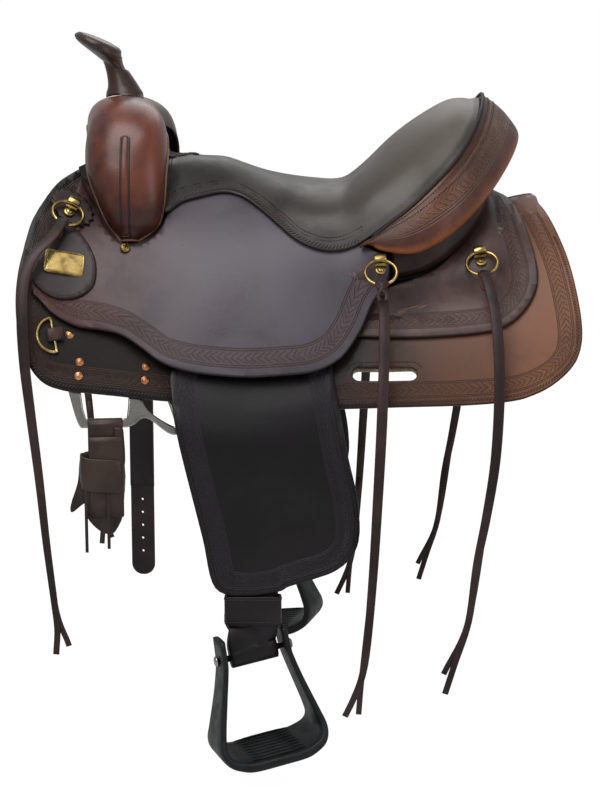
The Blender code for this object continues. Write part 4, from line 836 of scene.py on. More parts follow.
def slot_outline(grow):
    """Outline of the flank strap's slot, moved outwards by grow."""
    (x0, g0), (x1, g1) = FLANK_SLOT
    radius = SLOT_HALF + grow
    line = []
    for x, g, first in ((x1, g1, -90), (x0, g0, 90)):
        turns = [math.radians(first + 18 * k) for k in range(11)]
        line += [(x + radius * math.cos(turn), g + radius * math.sin(turn)) for turn in turns]
    return line


def curls(x, girth, coarse, fine, seed):
    """Uneven height of the wool: large curls and small ones."""
    return (noise.noise(Vector((x * coarse, girth * coarse, seed[0])))
            + 0.5 * noise.noise(Vector((x * fine, girth * fine, seed[1]))))


def wool_height(x, girth):
    """Top of the wool, uneven as clipped fleece is."""
    return FLEECE - 0.0008 + 0.0006 * min(curls(x, girth, 95, 230, (0, 3)), 0.0)


def wool_foot(x, girth):
    """Underside of the wool, on the horse."""
    return 0.0012 + 0.0018 * max(curls(x, girth, 85, 210, (7, 9)), -0.6)


def wool(name):
    """Sheep's wool: pale curls over a yellower root."""
    made, tree, shader = new_material(name)
    height = sum_node(tree, "MULTIPLY_ADD", cells_node(tree, 150.0), -0.9, noise_node(tree, 260.0, 4.0, 2.4))
    colour = blend_colour(tree, spread(tree, height, -0.35, 0.45), tone(150, 128, 92), tone(222, 206, 172))
    polish = spread(tree, height, -0.3, 0.5, 0.98, 0.88)
    connect(tree, shader, colour, polish, bump_node(tree, height, 0.8, 0.003))
    shader.inputs["Sheen Weight"].default_value = 0.3
    return made


fleece_outline = []
for x, girth in dense_outline(SKIRT_OUTLINE, 3):
    inward = (Vector((0.0, 0.19)) - Vector((x, girth))).normalized() * 0.006
    fleece_outline.append((x + inward.x, min(girth + inward.y, plate_top_girth(x) - 0.004)))
both_sides(panel("fleece_left_wool", fleece_outline, 0.0085, on_horse, wool_foot, wool_height, wool("wool"),
                 "fleece", holes=[slot_outline(0.003)], lip=0.004), "saddle", "fleece_left")


# The rigging plates: flat stainless plates let in behind the skirts, with a large loop for the latigo and a
# small one behind it. Five copper rivets go through the skirt into each plate.
PLATE_OUTLINE = (
    (-0.294, -0.112), (-0.27, -0.104), (-0.225, -0.11), (-0.184, -0.122), (-0.175, -0.15), (-0.162, -0.184),
    (-0.1435, -0.226), (-0.148, -0.238), (-0.161, -0.238), (-0.188, -0.2195), (-0.203, -0.227),
    (-0.214, -0.23), (-0.238, -0.23), (-0.261, -0.23), (-0.271, -0.224), (-0.284, -0.182), (-0.295, -0.14),
)
FRONT_LOOP = ((-0.27, -0.184), (-0.24, -0.182), (-0.211, -0.187), (-0.2085, -0.202), (-0.2125, -0.2235),
              (-0.238, -0.2235), (-0.261, -0.2235), (-0.2665, -0.208))
REAR_LOOP = ((-0.198, -0.187), (-0.182, -0.184), (-0.1665, -0.189), (-0.1515, -0.226), (-0.158, -0.2305),
             (-0.187, -0.2115))
RIVETS = ((-0.282, 0.308), (-0.269, 0.335), (-0.27, 0.352), (-0.189, 0.309), (-0.19, 0.326))


def make_wear():
    """Fine scratches and dull clouds on metal, on Object coordinates."""
    tree, given, result = new_group("wear", {"Scale": 60.0}, ("Clouds", "Height"))
    clouds = noise_node(tree, given["Scale"], 4.0)
    tree.links.new(spread(tree, clouds, 0.35, 0.68), result.inputs["Clouds"])
    tree.links.new(noise_node(tree, 900.0, 2.0, distortion=1.5), result.inputs["Height"])
    return tree


wear_group = make_wear()


def metal(name, bright, dull, roughness):
    """Polished metal that tarnishes in clouds."""
    made, tree, shader = new_material(name)
    worn = place_node(tree, "ShaderNodeGroup", node_tree=wear_group).outputs
    connect(tree, shader, blend_colour(tree, worn["Clouds"], tone(*bright), tone(*dull)),
            spread(tree, worn["Clouds"], 0.0, 1.0, roughness, roughness + 0.16),
            bump_node(tree, worn["Height"], 0.05, 0.0003))
    shader.inputs["Metallic"].default_value = 1.0
    return made


steel = metal("steel", (158, 156, 150), (128, 126, 120), 0.14)
copper = metal("copper", (200, 142, 100), (142, 88, 60), 0.3)
brass = metal("brass", (186, 160, 102), (110, 88, 50), 0.26)


def on_plate(x, z, height):
    """The point at that place in side view, at that height over the horse."""
    return on_horse(x, girth_at(x, z, PLATE_IN), height)


def turned(name, matrix, profile, material, slot, sides=20):
    """A round piece about local Z, through (radius, z) points from its foot to its top."""
    rings = [[matrix @ Vector((a, b, z)) for a, b in round_points(sides, r, r)] for r, z in profile]
    return loft(name, rings, material, slot)


def frame_matrix(x, girth, height):
    """Matrix with X along the saddle, Y down the girth and Z out."""
    return axes_at(*surface_frame(x, girth, height))


both_sides(panel("rigging_plate_left_sheet", dense_outline(PLATE_OUTLINE, 5), 0.012, on_plate, PLATE_IN,
                 PLATE_IN + PLATE, steel, "steel", holes=[dense_outline(FRONT_LOOP, 4),
                                                          dense_outline(REAR_LOOP, 4)], lip=0.0019), "saddle",
           "rigging_plate_left")
for k, (x, girth) in enumerate(RIVETS):
    head = turned(f"rivet_{k}_left", frame_matrix(x, girth, SKIRT_OUT),
                  ((0.002, -0.004), (0.002, 0.0003), (0.005, 0.0003), (0.0053, 0.0008), (0.0046, 0.0012),
                   (0.0042, 0.0013), (0.0034, 0.0023), (0.0015, 0.0029)), copper, "steel")
    both_sides(head)


# The skirts: the lowest leather, heavy sides cut to the horse's back. Their hem is roped with a thick thread,
# and behind the leg a stitched slot takes the flank strap.
STITCH_RISE = 0.0003


def make_stitches():
    """Geometry nodes: a row of stitches along a line, each along the line and facing its out direction."""
    starts = {"Line": None, "Spacing": 0.0042, "Length": 0.0034, "Thickness": 0.001, "Slant": 0.0,
              "Thread": None}
    tree, given, result = new_group("stitches", starts, ("Stitches",), "GeometryNodeTree",
                                    {"Line": "Geometry", "Thread": "Material", "Stitches": "Geometry"})

    def step(kind, inputs=(), **settings):
        return place_node(tree, kind, inputs, **settings).outputs[0]

    curve = step("GeometryNodeMeshToCurve", {0: given["Line"]})
    spots = step("GeometryNodeResampleCurve", {"Curve": curve, "Length": given["Spacing"]}, mode="LENGTH")
    ball = step("GeometryNodeMeshUVSphere", {"Segments": 6, "Rings": 5, "Radius": 0.5})
    size = step("ShaderNodeCombineXYZ", {0: given["Length"], 1: given["Thickness"], 2: given["Thickness"]})
    thread = step("GeometryNodeTransform", {"Geometry": ball, "Scale": size})
    out = step("GeometryNodeInputNamedAttribute", {"Name": "out"}, data_type="FLOAT_VECTOR")
    first = step("FunctionNodeAlignRotationToVector", {"Vector": step("GeometryNodeInputTangent")}, axis="X")
    second = step("FunctionNodeAlignRotationToVector", {"Rotation": first, "Vector": out}, axis="Z",
                  pivot_axis="X")
    lean = step("FunctionNodeAxisAngleToRotation", {"Axis": (0, 0, 1), "Angle": given["Slant"]})
    turn = step("FunctionNodeRotateRotation", {"Rotation": second, "Rotate By": lean}, rotation_space="LOCAL")
    row = step("GeometryNodeInstanceOnPoints", {"Points": spots, "Instance": thread, "Rotation": turn})
    soft = step("GeometryNodeSetShadeSmooth", {"Geometry": step("GeometryNodeRealizeInstances", {0: row})})
    dressed = step("GeometryNodeSetMaterial", {"Geometry": soft, "Material": given["Thread"]})
    tree.links.new(dressed, result.inputs["Stitches"])
    return tree


stitch_tree = make_stitches()


def thread_material(name, colour):
    """Waxed thread, twisted."""
    made, tree, shader = new_material(name)
    twist = noise_node(tree, 700.0, 2.0)
    colour = tone(*colour)
    dark = tuple(c * 0.55 for c in colour[:3]) + (1,)
    connect(tree, shader, blend_colour(tree, twist, dark, colour), spread(tree, twist, 0.3, 0.7, 0.65, 0.5),
            bump_node(tree, twist, 0.5, 0.0004))
    return made


dark_thread = thread_material("dark_thread", (46, 34, 30))


def stitch_rows(name, lines, thread, slot, spacing=0.0042, length=0.0034, thickness=0.001, slant=0.0, sign=1):
    """Rows of stitches along lines of (points, out directions, closed); sign -1 puts them on the off side."""
    verts, edges, outs = [], [], []
    for points, ways, closed in lines:
        start, count = len(verts), len(points)
        verts += [on_side(p, sign) for p in points]
        outs += [on_side(w, sign) for w in ways]
        edges += [(start + k, start + (k + 1) % count) for k in range(count if closed else count - 1)]
    mesh = bpy.data.meshes.new(name + "_line")
    mesh.from_pydata(verts, edges, [])
    facing = np.array(outs, dtype=float).ravel()
    mesh.attributes.new("out", "FLOAT_VECTOR", "POINT").data.foreach_set("vector", facing)
    line = put(name + "_line", mesh)
    row = line.modifiers.new("stitches", "NODES")
    row.node_group = stitch_tree
    values = {"Spacing": spacing, "Length": length, "Thickness": thickness, "Slant": slant * sign,
              "Thread": thread}
    for item in stitch_tree.interface.items_tree:
        if item.in_out == "INPUT" and item.name in values:
            row[item.identifier] = values[item.name]
    bpy.context.view_layer.update()
    made = bpy.data.meshes.new_from_object(line.evaluated_get(bpy.context.evaluated_depsgraph_get()))
    line.modifiers.clear()
    bpy.data.objects.remove(line)
    made.name = name
    obj = put(name, made)
    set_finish(obj, slot)
    return obj


def seam(path, form, high, closed=False):
    """A stitched line on a form: its points and their outward directions."""
    def level(a, b):
        return high(a, b) if callable(high) else high

    points = [form(a, b, level(a, b) + STITCH_RISE) for a, b in path]
    ways = [(form(a, b, level(a, b) + 0.002) - p).normalized() for (a, b), p in zip(path, points)]
    return points, ways, closed


def part_of(path, keep):
    """The longest run of a closed path's points for which keep holds."""
    count = len(path)
    flags = [keep(*p) for p in path]
    first = next((k for k in range(count) if flags[k] and not flags[k - 1]), 0)
    run = []
    best = []
    for i in range(count):
        k = (first + i) % count
        run = [*run, path[k]] if flags[k] else []
        best = max(best, run, key=len)
    return best


def rows_both(name, body, *args, **options):
    """The same rows of stitches on both sides, each settled on its body."""
    for side, sign in (("left", 1), ("right", -1)):
        settle(stitch_rows(f"{name}_{side}", *args, sign=sign, **options), body.replace("_left", "_" + side))


# Light tone of the tooled borders on the edges of the cuts: burnish together with a painted highlight.
tooled_tan = (170, 130, 110)
skirt_leather = leather("skirt_leather", (13, 8, 8), (32, 21, 20), 0.36, crease=0.5,
                        band=(0.0125, 0.015, tooled_tan), rim=((26, 18, 17), 0.0026),
                        far=((124, 80, 56), 0.06, 0.33))
skirt_line = dense_outline(SKIRT_OUTLINE)
both_sides(panel("skirt_left_side", skirt_line, 0.01, on_horse, SKIRT_IN, SKIRT_OUT, skirt_leather,
                 "dark_brown", holes=[slot_outline(0.0)], tooled=lambda x, g: g > 0.06), "saddle",
           "skirt_left")
hem = part_of(inner_line(skirt_line, 0.0058), lambda x, g: g > 0.1)
rows_both("skirt_hem", "saddle", [seam(hem, on_horse, SKIRT_OUT)], dark_thread, "dark_brown",
          spacing=0.0042, length=0.0062, thickness=0.0016, slant=0.75)
slot_seam = [(x, g) for x, g in slot_outline(0.0062) if g < FLANK_SLOT[0][1] - 0.004 and x < 0.15]
rows_both("slot_seam", "saddle", [seam(sorted(slot_seam), on_horse, SKIRT_OUT)], dark_thread, "dark_brown",
          spacing=0.0046, length=0.0038, thickness=0.0013)


# The rear jockeys: the leather that lies on the skirts behind the seat and over the ends of the bars. It is
# stamped along its hem and screwed down under the rear rings.
REAR_JOCKEY_OUTLINE = (
    (0.268, 0.006), (0.281, 0.036), (0.291, 0.083), (0.298, 0.13), (0.3, 0.167), (0.294, 0.193),
    (0.28, 0.214), (0.26, 0.229), (0.235, 0.235), (0.18, 0.234), (0.116, 0.231), (0.062, 0.226),
    (0.055, 0.212), (0.066, 0.18), (0.11, 0.168), (0.17, 0.15), (0.215, 0.105), (0.232, 0.06), (0.24, 0.012),
)


def rear_jockey_out(x, girth):
    """Height of the rear jockey's outer face."""
    return rear_jockey_in(x, girth) + JOCKEY


rear_leather = leather("rear_leather", (48, 33, 32), (90, 70, 67), 0.36, crease=0.5,
                       band=(0.014, 0.016, tooled_tan), rim=((24, 18, 18), 0.0026))
rear_line = dense_outline(REAR_JOCKEY_OUTLINE)
both_sides(panel("rear_jockey_left_leather", rear_line, 0.009, on_horse, rear_jockey_in, rear_jockey_out,
                 rear_leather, "dark_brown", tooled=lambda x, g: x > 0.262 or g > 0.205), "saddle",
           "rear_jockey_left")


# The seat jockeys: the large brown leathers under the rider's legs, from the swell back to the cantle. They
# are redder by the swell, carry a painted bluish-grey sheen under the leg, and are stamped with a leaf border
# along their hem.
SEAT_JOCKEY_OUTLINE = (
    (-0.329, 0.275), (-0.318, 0.286), (-0.299, 0.295), (-0.272, 0.296), (-0.245, 0.289), (-0.22, 0.286),
    (-0.198, 0.292), (-0.168, 0.304), (-0.135, 0.306), (-0.1, 0.303), (-0.061, 0.298), (-0.024, 0.291),
    (0.018, 0.282), (0.051, 0.262), (0.074, 0.229), (0.09, 0.193), (0.106, 0.176), (0.112, 0.16),
    (0.106, 0.147), (0.092, 0.141), (0.06, 0.128), (0.014, 0.122), (-0.02, 0.1), (-0.05, 0.074),
    (-0.08, 0.061), (-0.11, 0.064), (-0.14, 0.078), (-0.158, 0.092), (-0.169, 0.112), (-0.174, 0.128),
    (-0.184, 0.146), (-0.2, 0.161), (-0.216, 0.167), (-0.229, 0.164), (-0.246, 0.148), (-0.264, 0.117),
    (-0.28, 0.088), (-0.288, 0.118), (-0.3, 0.172), (-0.315, 0.222),
)


def jockey_in(x, girth):
    """Height of the seat jockey's inner face."""
    return seat_form(x, girth) - JOCKEY


# The far tone is a painted sheen: behind the swell the jockey goes bluish-grey as a painted reflection of the
# light from above.
jockey_leather = leather("jockey_leather", (44, 22, 20), (86, 52, 46), 0.31, crease=0.6,
                         band=(0.0125, 0.017, tooled_tan), rim=((24, 17, 17), 0.0028),
                         far=((84, 78, 86), -0.3, -0.05))
jockey_line = dense_outline(SEAT_JOCKEY_OUTLINE)
both_sides(panel("seat_jockey_left_leather", jockey_line, 0.0085, on_horse, jockey_in, seat_form,
                 jockey_leather, "dark_brown", tooled=lambda x, g: g > 0.255 or x > 0.055 and g > 0.155),
           "saddle", "seat_jockey_left")


# The swell: leather drawn wet over the fork. A welt runs up each lobe as a long loop, and one tan piping
# closes the lower edge all round.
SWELL_SECTIONS = (
    (-0.1437, -0.0135, -0.2145, 0.022, 0.01), (-0.1405, -0.003, -0.211, 0.044, 0.018),
    (-0.1375, 0.01, -0.2105, 0.065, 0.026), (-0.133, 0.036, -0.2135, 0.083, 0.033),
    (-0.123, 0.07, -0.219, 0.098, 0.04), (-0.105, 0.098, -0.22, 0.103, 0.044),
    (-0.074, 0.118, -0.222, 0.101, 0.043), (-0.038, 0.128, -0.229, 0.096, 0.039),
    (0.0, 0.131, -0.232, 0.09, 0.036),
)
SWELL_LEATHER = 0.004
SWELL_STEPS = 6
SWELL_ROUND = 44
PIPING_RADIUS = 0.0015
WELT_X = -0.2185
WELT_ENDS = (0.55, 4.65)
WELT_HALF = 0.005
WELT_RADIUS = 0.0013
WELT_LIFT = 0.0006
WELT_SECTION = ((-1, -0.002), (-1, 0.0006), (-0.7, 0.0014), (0, 0.0017), (0.7, 0.0014), (1, 0.0006),
                (1, -0.002))



def mirrored(rows):
    """Rows of numbers with their mirror image after them; the last row lies on the middle line."""
    return [*rows, *[(-row[0], *row[1:]) for row in reversed(rows[:-1])]]


swell_line = smooth_path(mirrored(SWELL_SECTIONS), SWELL_STEPS)


def swell_point(place, angle, lift=0.0):
    """Point of the swell at a place along its line and an angle over it from its front edge, lifted out."""
    place = min(max(place, 0.0), len(swell_line) - 1.001)
    k = int(place)
    y, z, x, width, depth = swell_line[k].lerp(swell_line[k + 1], place - k)
    before, after = swell_line[max(k - 2, 0)], swell_line[min(k + 3, len(swell_line) - 1)]
    along = Vector((after[0] - before[0], after[1] - before[1])).normalized()
    out = Vector((0, -along.y, along.x))
    bow = math.copysign(abs(math.cos(angle)) ** 0.8, math.cos(angle))
    rise = abs(math.sin(angle)) ** 0.8
    return Vector((x - (width / 2 + lift) * bow, y, z)) + out * max(depth + lift, 0.001) * rise


def welt_point(place, x, lift):
    """Point of the swell at a place along its line and at that x."""
    k = min(int(place), len(swell_line) - 2)
    row = swell_line[k].lerp(swell_line[k + 1], place - k)
    bow = min(max((row[2] - x) / (row[3] / 2), -1), 1)
    return swell_point(place, math.acos(math.copysign(abs(bow) ** 1.25, bow)), lift)


def tube(name, route, radius, material, slot, closed=False, sides=10):
    """A round cord along a route."""
    rings = []
    side = None
    for i, place in enumerate(route):
        along = (route[(i + 1) % len(route)] - route[i - 1]).normalized() if closed else heading(route, i)
        side = along.orthogonal().normalized() if side is None else squared(side, along)
        other = along.cross(side)
        rings.append([place + radius * (side * c + other * s) for c, s in round_points(sides)])
    return loft(name, rings, material, slot, closed=closed)


swell_leather = leather("swell_leather", (50, 22, 18), (104, 56, 42), 0.3, crease=0.7,
                        rim=((38, 20, 18), 0.01), coat=0.25)
angles = [math.pi * k / SWELL_ROUND for k in range(SWELL_ROUND + 1)]
rings = []
for i in range(len(swell_line)):
    outer = [swell_point(i, a) for a in angles]
    inner = [swell_point(i, a, -SWELL_LEATHER) for a in angles]
    rings.append(outer + list(reversed(inner)))
across = [0.05 * math.sin(a) for a in angles]
settle(loft("swell_cover_leather", rings, swell_leather, "red_brown", rim=across + list(reversed(across))),
       "saddle", "swell_cover")
piping_leather = leather("piping_leather", (96, 66, 48), (138, 102, 74), 0.45, grain=1300.0, crease=0.4)
last = len(swell_line) - 1
stand = [max(1 - min(i, last - i) / 8, 0) for i in range(last + 1)]
arc = [0.5 + (math.pi - 1.0) * k / 10 for k in range(11)]
lift = [0.0004 + 0.0012 * s for s in stand]
route = [swell_point(i, 0.5 * stand[i], lift[i]) for i in range(1, last)]
route += [swell_point(last, angle, 0.0016) for angle in arc]
route += [swell_point(i, math.pi - 0.5 * stand[i], lift[i]) for i in reversed(range(1, last))]
route += [swell_point(0, angle, 0.0016) for angle in reversed(arc)]
settle(tube("swell_piping", route, PIPING_RADIUS, piping_leather, "red_brown", closed=True), "saddle")
low, high = (place * SWELL_STEPS for place in WELT_ENDS)
steps = [low + (high - low) * k / 24 for k in range(25)]
turns = [math.pi * k / 8 for k in range(1, 8)]
loop = [welt_point(s, WELT_X - WELT_HALF, WELT_LIFT) for s in steps]
loop += [welt_point(high + 0.62 * math.sin(a), WELT_X - WELT_HALF * math.cos(a), WELT_LIFT) for a in turns]
loop += [welt_point(s, WELT_X + WELT_HALF, WELT_LIFT) for s in reversed(steps)]
loop += [welt_point(low - 0.9 * math.sin(a), WELT_X + WELT_HALF * math.cos(a), WELT_LIFT) for a in turns]
both_sides(tube("swell_welt_left", loop, WELT_RADIUS, swell_leather, "red_brown", closed=True))
rings = []
for s in [low - 0.7, *steps, high + 0.25, high + 0.5]:
    w = WELT_HALF * (0.45 if s < low or s > high + 0.3 else 0.85 if s > high else 0.98)
    rings.append([welt_point(s, WELT_X + w * t, r) for t, r in WELT_SECTION])
both_sides(loft("swell_welt_fill_left", rings, swell_leather, "red_brown", rim=[0.03] * len(WELT_SECTION)))


# The apron: a flat leather let in between the swell's foot and the jockeys, on which the swell's lower edge
# rests. It is cut a little wider than the swell's foot and glued down.
APRON = ((-0.289, 0.092), (-0.277, 0.13), (-0.255, 0.159), (-0.218, 0.177), (-0.188, 0.166), (-0.17, 0.142),
         (-0.158, 0.116), (-0.152, 0.096), (-0.2, 0.086), (-0.25, 0.082))
apron_leather = leather("apron_leather", (36, 24, 22), (60, 42, 38), 0.42, crease=0.4)
both_sides(panel("swell_apron_left", dense_outline(APRON), 0.01, on_horse, lambda a, b: jockey_in(a, b)
                 - 0.006, lambda a, b: jockey_in(a, b) - 0.0036, apron_leather, "dark_brown"))


# The horn: a wooden and iron post wrapped in leather, with a wide tilted cap whose edge is stitched all
# round.
NECK_SECTIONS = ((-0.231, 0.1674, 0.025), (-0.2326, 0.179, 0.0207), (-0.2368, 0.192, 0.0176),
                 (-0.2412, 0.2025, 0.0164))
CAP_CENTRE = Vector((-0.265, 0.0, 0.2345))
CAP_TILT = math.radians(23)
CAP_LENGTH = 0.066
CAP_WIDTH = 0.07
CAP_SIDES = 72
NECK_SIDES = 48
NECK_FOOT = 12
CAP_PROFILE = ((0.0, 0.0078, 0.0), (0.45, 0.0072, 0.0), (0.8, 0.0054, 0.0), (0.95, 0.0026, 0.0),
               (1.0, -0.0015, 0.0), (0.975, -0.0055, 0.0034), (0.88, -0.009, 0.0088), (0.74, -0.012, 0.0156),
               (0.62, -0.015, 0.0228), (0.52, -0.018, 0.0305))


def swell_crest(x):
    """Height of the swell cover on the centre line."""
    _, z, middle, width, depth = SWELL_SECTIONS[-1]
    share = min(abs(x - middle) / (width / 2), 1.0) ** 1.25
    return z + depth * (1 - share ** 2) ** 0.4


horn_leather = leather("horn_leather", (34, 22, 20), (72, 48, 40), 0.3, crease=0.6, coat=0.25)
tilt = Matrix.Rotation(CAP_TILT, 4, "Y")
share, rise, shift = CAP_PROFILE[-1]
top = CAP_CENTRE + tilt @ Vector((shift, 0, rise - 0.0006))
x, z, radius = NECK_SECTIONS[0]
sections = smooth_path([(x, z, radius * 0.3), (x, z, radius * 0.65), *NECK_SECTIONS,
                        (top.x, top.z + 0.002, CAP_LENGTH / 2 * share)], 5)
rings = []
for i, (x, z, radius) in enumerate(sections):
    turn = Matrix.Rotation(CAP_TILT * max((i - 10) / (len(sections) - 11), 0) ** 2, 4, "Y")
    circle = round_points(NECK_SIDES, radius, radius)
    rings.append([Vector((x, 0, z)) + turn @ Vector((a, b, 0)) for a, b in circle])
for ring in rings[:NECK_FOOT + 1]:
    for point in ring:
        point.z = max(point.z if ring is rings[NECK_FOOT] else 0.0, swell_crest(point.x) + 0.0009)
settle(loft("horn_neck_leather", rings, horn_leather, "red_brown"), "saddle", "horn_neck")
rings = []
for share, rise, shift in smooth_path(CAP_PROFILE, 4):
    size = max(share, 0.02)
    rings.append([CAP_CENTRE + tilt @ Vector((shift + a * size, b * size, rise))
                  for a, b in round_points(CAP_SIDES, CAP_LENGTH / 2, CAP_WIDTH / 2)])
settle(loft("horn_cap_leather", rings, horn_leather, "red_brown"), "saddle", "horn_cap")
for label, share, shift, rise in (("top", 0.865, 0, 0.0045), ("edge", 0.985, 0.003, -0.005)):
    rays = [Vector((a, b, 0)) for a, b in round_points(120, CAP_LENGTH / 2, CAP_WIDTH / 2)]
    points = [CAP_CENTRE + tilt @ (ray * share + Vector((shift, 0, rise))) for ray in rays]
    ways = [tilt @ (Vector((0, 0, 1)) if label == "top" else ray.normalized()) for ray in rays]
    settle(stitch_rows(f"horn_cap_seam_{label}", [(points, ways, True)], dark_thread, "red_brown",
                       spacing=0.004, length=0.0034, thickness=0.0011), "saddle")


# The padded seat: foam over the ground seat under soft black leather. Its hem is drawn in by a seam and laced
# down with a thong.
SEAT_EDGE = (
    (-0.176, 0.069), (-0.172, 0.1115), (-0.15, 0.094), (-0.125, 0.083), (-0.099, 0.074), (-0.077, 0.075),
    (-0.055, 0.088), (-0.03, 0.109), (-0.008, 0.128), (0.014, 0.138), (0.04, 0.142), (0.074, 0.137),
    (0.112, 0.122), (0.15, 0.108), (0.194, 0.09), (0.222, 0.066), (0.234, 0.036),
)
SEAT_BACK_X = 0.237
SEAT_FRONT = ((-0.178, 0.026), (-0.176, 0.017), (-0.16, 0.0095), (-0.1385, 0.0))
GROUND_SEAT_EDGE = ((-0.158, 0.03), (-0.155, 0.08), (-0.125, 0.076), (-0.077, 0.07), (-0.03, 0.1),
                    (0.01, 0.118), (0.07, 0.122), (0.112, 0.11), (0.15, 0.094), (0.186, 0.076),
                    (0.208, 0.052), (0.216, 0.026))
GROUND_SEAT_BACK_X = 0.218
GROUND_SEAT = 0.006
PAD = 0.0115
PAD_EDGE = 0.004
PAD_CROWN = 0.046
SEAM_INSET = 0.0125


def whole_edge(edge, back_x, steps=2):
    """The edge of a piece across the centre line: the near half from front to back, then the off half."""
    line = [*edge, (back_x, 0.0), *[(x, -girth) for x, girth in reversed(edge)]]
    return [tuple(p) for p in smooth_path(line, steps)]


def tied_edge(edge, back_x, front, steps=5):
    """A whole outline: the edge of both halves, closed by the front's points."""
    return [*whole_edge(edge, back_x, steps), *((x, -g) for x, g in front), *reversed(front[:-1])]


def ground_top(x, girth):
    """Height of the ground seat's upper face, under the jockeys."""
    return seat_form(x, girth) - JOCKEY - LAID_GAP


ground_leather = leather("ground_leather", (128, 86, 56), (160, 114, 78), 0.52, crease=0.5)
ground_line = tied_edge(GROUND_SEAT_EDGE, GROUND_SEAT_BACK_X, ((-0.15, 0.012), (-0.128, 0.0)))
settle(panel("ground_seat_leather", ground_line, 0.012, on_horse, lambda x, g: ground_top(x, g) - GROUND_SEAT,
             ground_top, ground_leather, "tan_brown"), "saddle", "ground_seat")
seat_line = tied_edge(SEAT_EDGE, SEAT_BACK_X, SEAT_FRONT)
seat_points = np.array(seat_line)


def pad_in(x, girth):
    """Height of the pad's inner face, on the jockeys."""
    return seat_form(x, girth) + LAID_GAP


def pad_out(x, girth):
    """Outer face of the pad: crowned, drawn in along the seam round its hem."""
    near = float(np.sqrt(((seat_points - (x, girth)) ** 2).sum(axis=1).min()))
    drawn = 0.0013 * math.exp(-((near - SEAM_INSET) / 0.0026) ** 2)
    return pad_in(x, girth) + PAD_EDGE + (PAD - PAD_EDGE) * smooth_step(near / PAD_CROWN) - drawn


# The far tone is a painted highlight: the seat goes lighter towards the cantle, where the light falls on its
# rear slope.
seat_leather = leather("seat_leather", (26, 22, 20), (62, 56, 51), 0.33, grain=700.0, crease=0.5,
                       far=((100, 92, 84), -0.02, 0.3), rim=((34, 27, 25), 0.012))
seat = panel("seat_cover_pad", seat_line, 0.0072, on_horse, pad_in, pad_out, seat_leather, "seat_black",
             lip=0.0022)
settle(seat, "saddle", "seat_cover")
side_lines = [part_of(inner_line(seat_line, inset), lambda x, g: g > 0.05 and -0.167 < x < 0.078)
              for inset in (0.0045, 0.0112, 0.0148)]
rows_both("seat_seam", "saddle", [seam(path, on_horse, pad_out) for path in side_lines[1:]], dark_thread,
          "seat_black", spacing=0.0042, length=0.0036, thickness=0.0012)
thong = thread_material("thong", (64, 44, 36))
rows_both("seat_lacing", "saddle", [seam(side_lines[0], on_horse, pad_out)], thong, "lace_brown",
          spacing=0.0046, length=0.0078, thickness=0.0019, slant=0.95)


# The hand-hole: an opening cut through the seat's crest behind the swell, which takes the rider's hand. Its
# leather lip is turned under all round; inside it lies a near-black sheet on the seat, painted shade for the
# opening.
HAND_HOLE = ((-0.1725, -0.025), (-0.164, -0.0235), (-0.152, -0.0165), (-0.14, -0.007), (-0.1355, 0.0),
             (-0.14, 0.007), (-0.152, 0.0165), (-0.164, 0.0235), (-0.1725, 0.025), (-0.1745, 0.0))
HOLE_LIP = 0.0019
hole_line = dense_outline(HAND_HOLE)
# A near-black sheet laid on the seat's crest: painted shade for the inside of the hand-hole.
hand_hole_painted_shade = leather("hand_hole_painted_shade", (8, 7, 7), (16, 13, 12), 0.7, crease=0.3)
settle(panel("seat_hand_hole", hole_line, 0.006, on_horse, lambda x, g: pad_out(x, g) - 0.003,
             lambda x, g: pad_out(x, g) + 0.0003, hand_hole_painted_shade, "seat_black"), "saddle")
lip_route = [on_horse(x, g, pad_out(x, g) + 0.0004) for x, g in hole_line]
settle(tube("seat_hand_hole_lip", lip_route, HOLE_LIP, seat_leather, "seat_black", closed=True), "saddle")


# The seat's front flap: the part of the cover beside the hand-hole, drawn down behind the swell and sewn with
# one row on each side.
FLAP_X = -0.1672
front = [(FLAP_X, 0.03 + 0.072 * k / 24) for k in range(25)]
rows_both("seat_flap_seam", "saddle", [seam(front, on_horse, pad_out)], dark_thread, "seat_black",
          spacing=0.004, length=0.0034, thickness=0.0012)


# The cantle: a rolled binding over its rim, tooled, sewn with two rows and burnished tan at its edge, with a
# dark piping where it meets the seat, and a plain leather up its back.
ROLL_FIRST = 22
ROLL_GAP = 0.0018
ROLL_EDGE = ((0.086, -0.178, -0.0095), (0.11, -0.184, -0.02), (0.15, -0.186, -0.02),
             (0.2, -0.168, 0.006), (0.247, -0.118, 0.05), (0.28, -0.059, 0.095),
             (0.291, 0.0, 0.117))
ROLL_THICK = 0.026
ROLL_BULGE = 0.007
ROLL_LIP = 0.012
BINDING_WIDTH = 0.056
BINDING_FIRST = 7
BINDING_LAST = 28
CANTLE_BACK_FOOT = ((0.118, 0.158), (0.156, 0.152), (0.2, 0.128), (0.234, 0.086), (0.247, 0.044),
                    (0.249, 0.0))
CANTLE_BACK_LEATHER = 0.0045
line = [Vector((x, girth, 0)) for x, girth in whole_edge(SEAT_EDGE, SEAT_BACK_X)]
edges = smooth_path([*ROLL_EDGE, *[(x, -y, z) for x, y, z in reversed(ROLL_EDGE[:-1])]], 2)
rings = []
tops = []
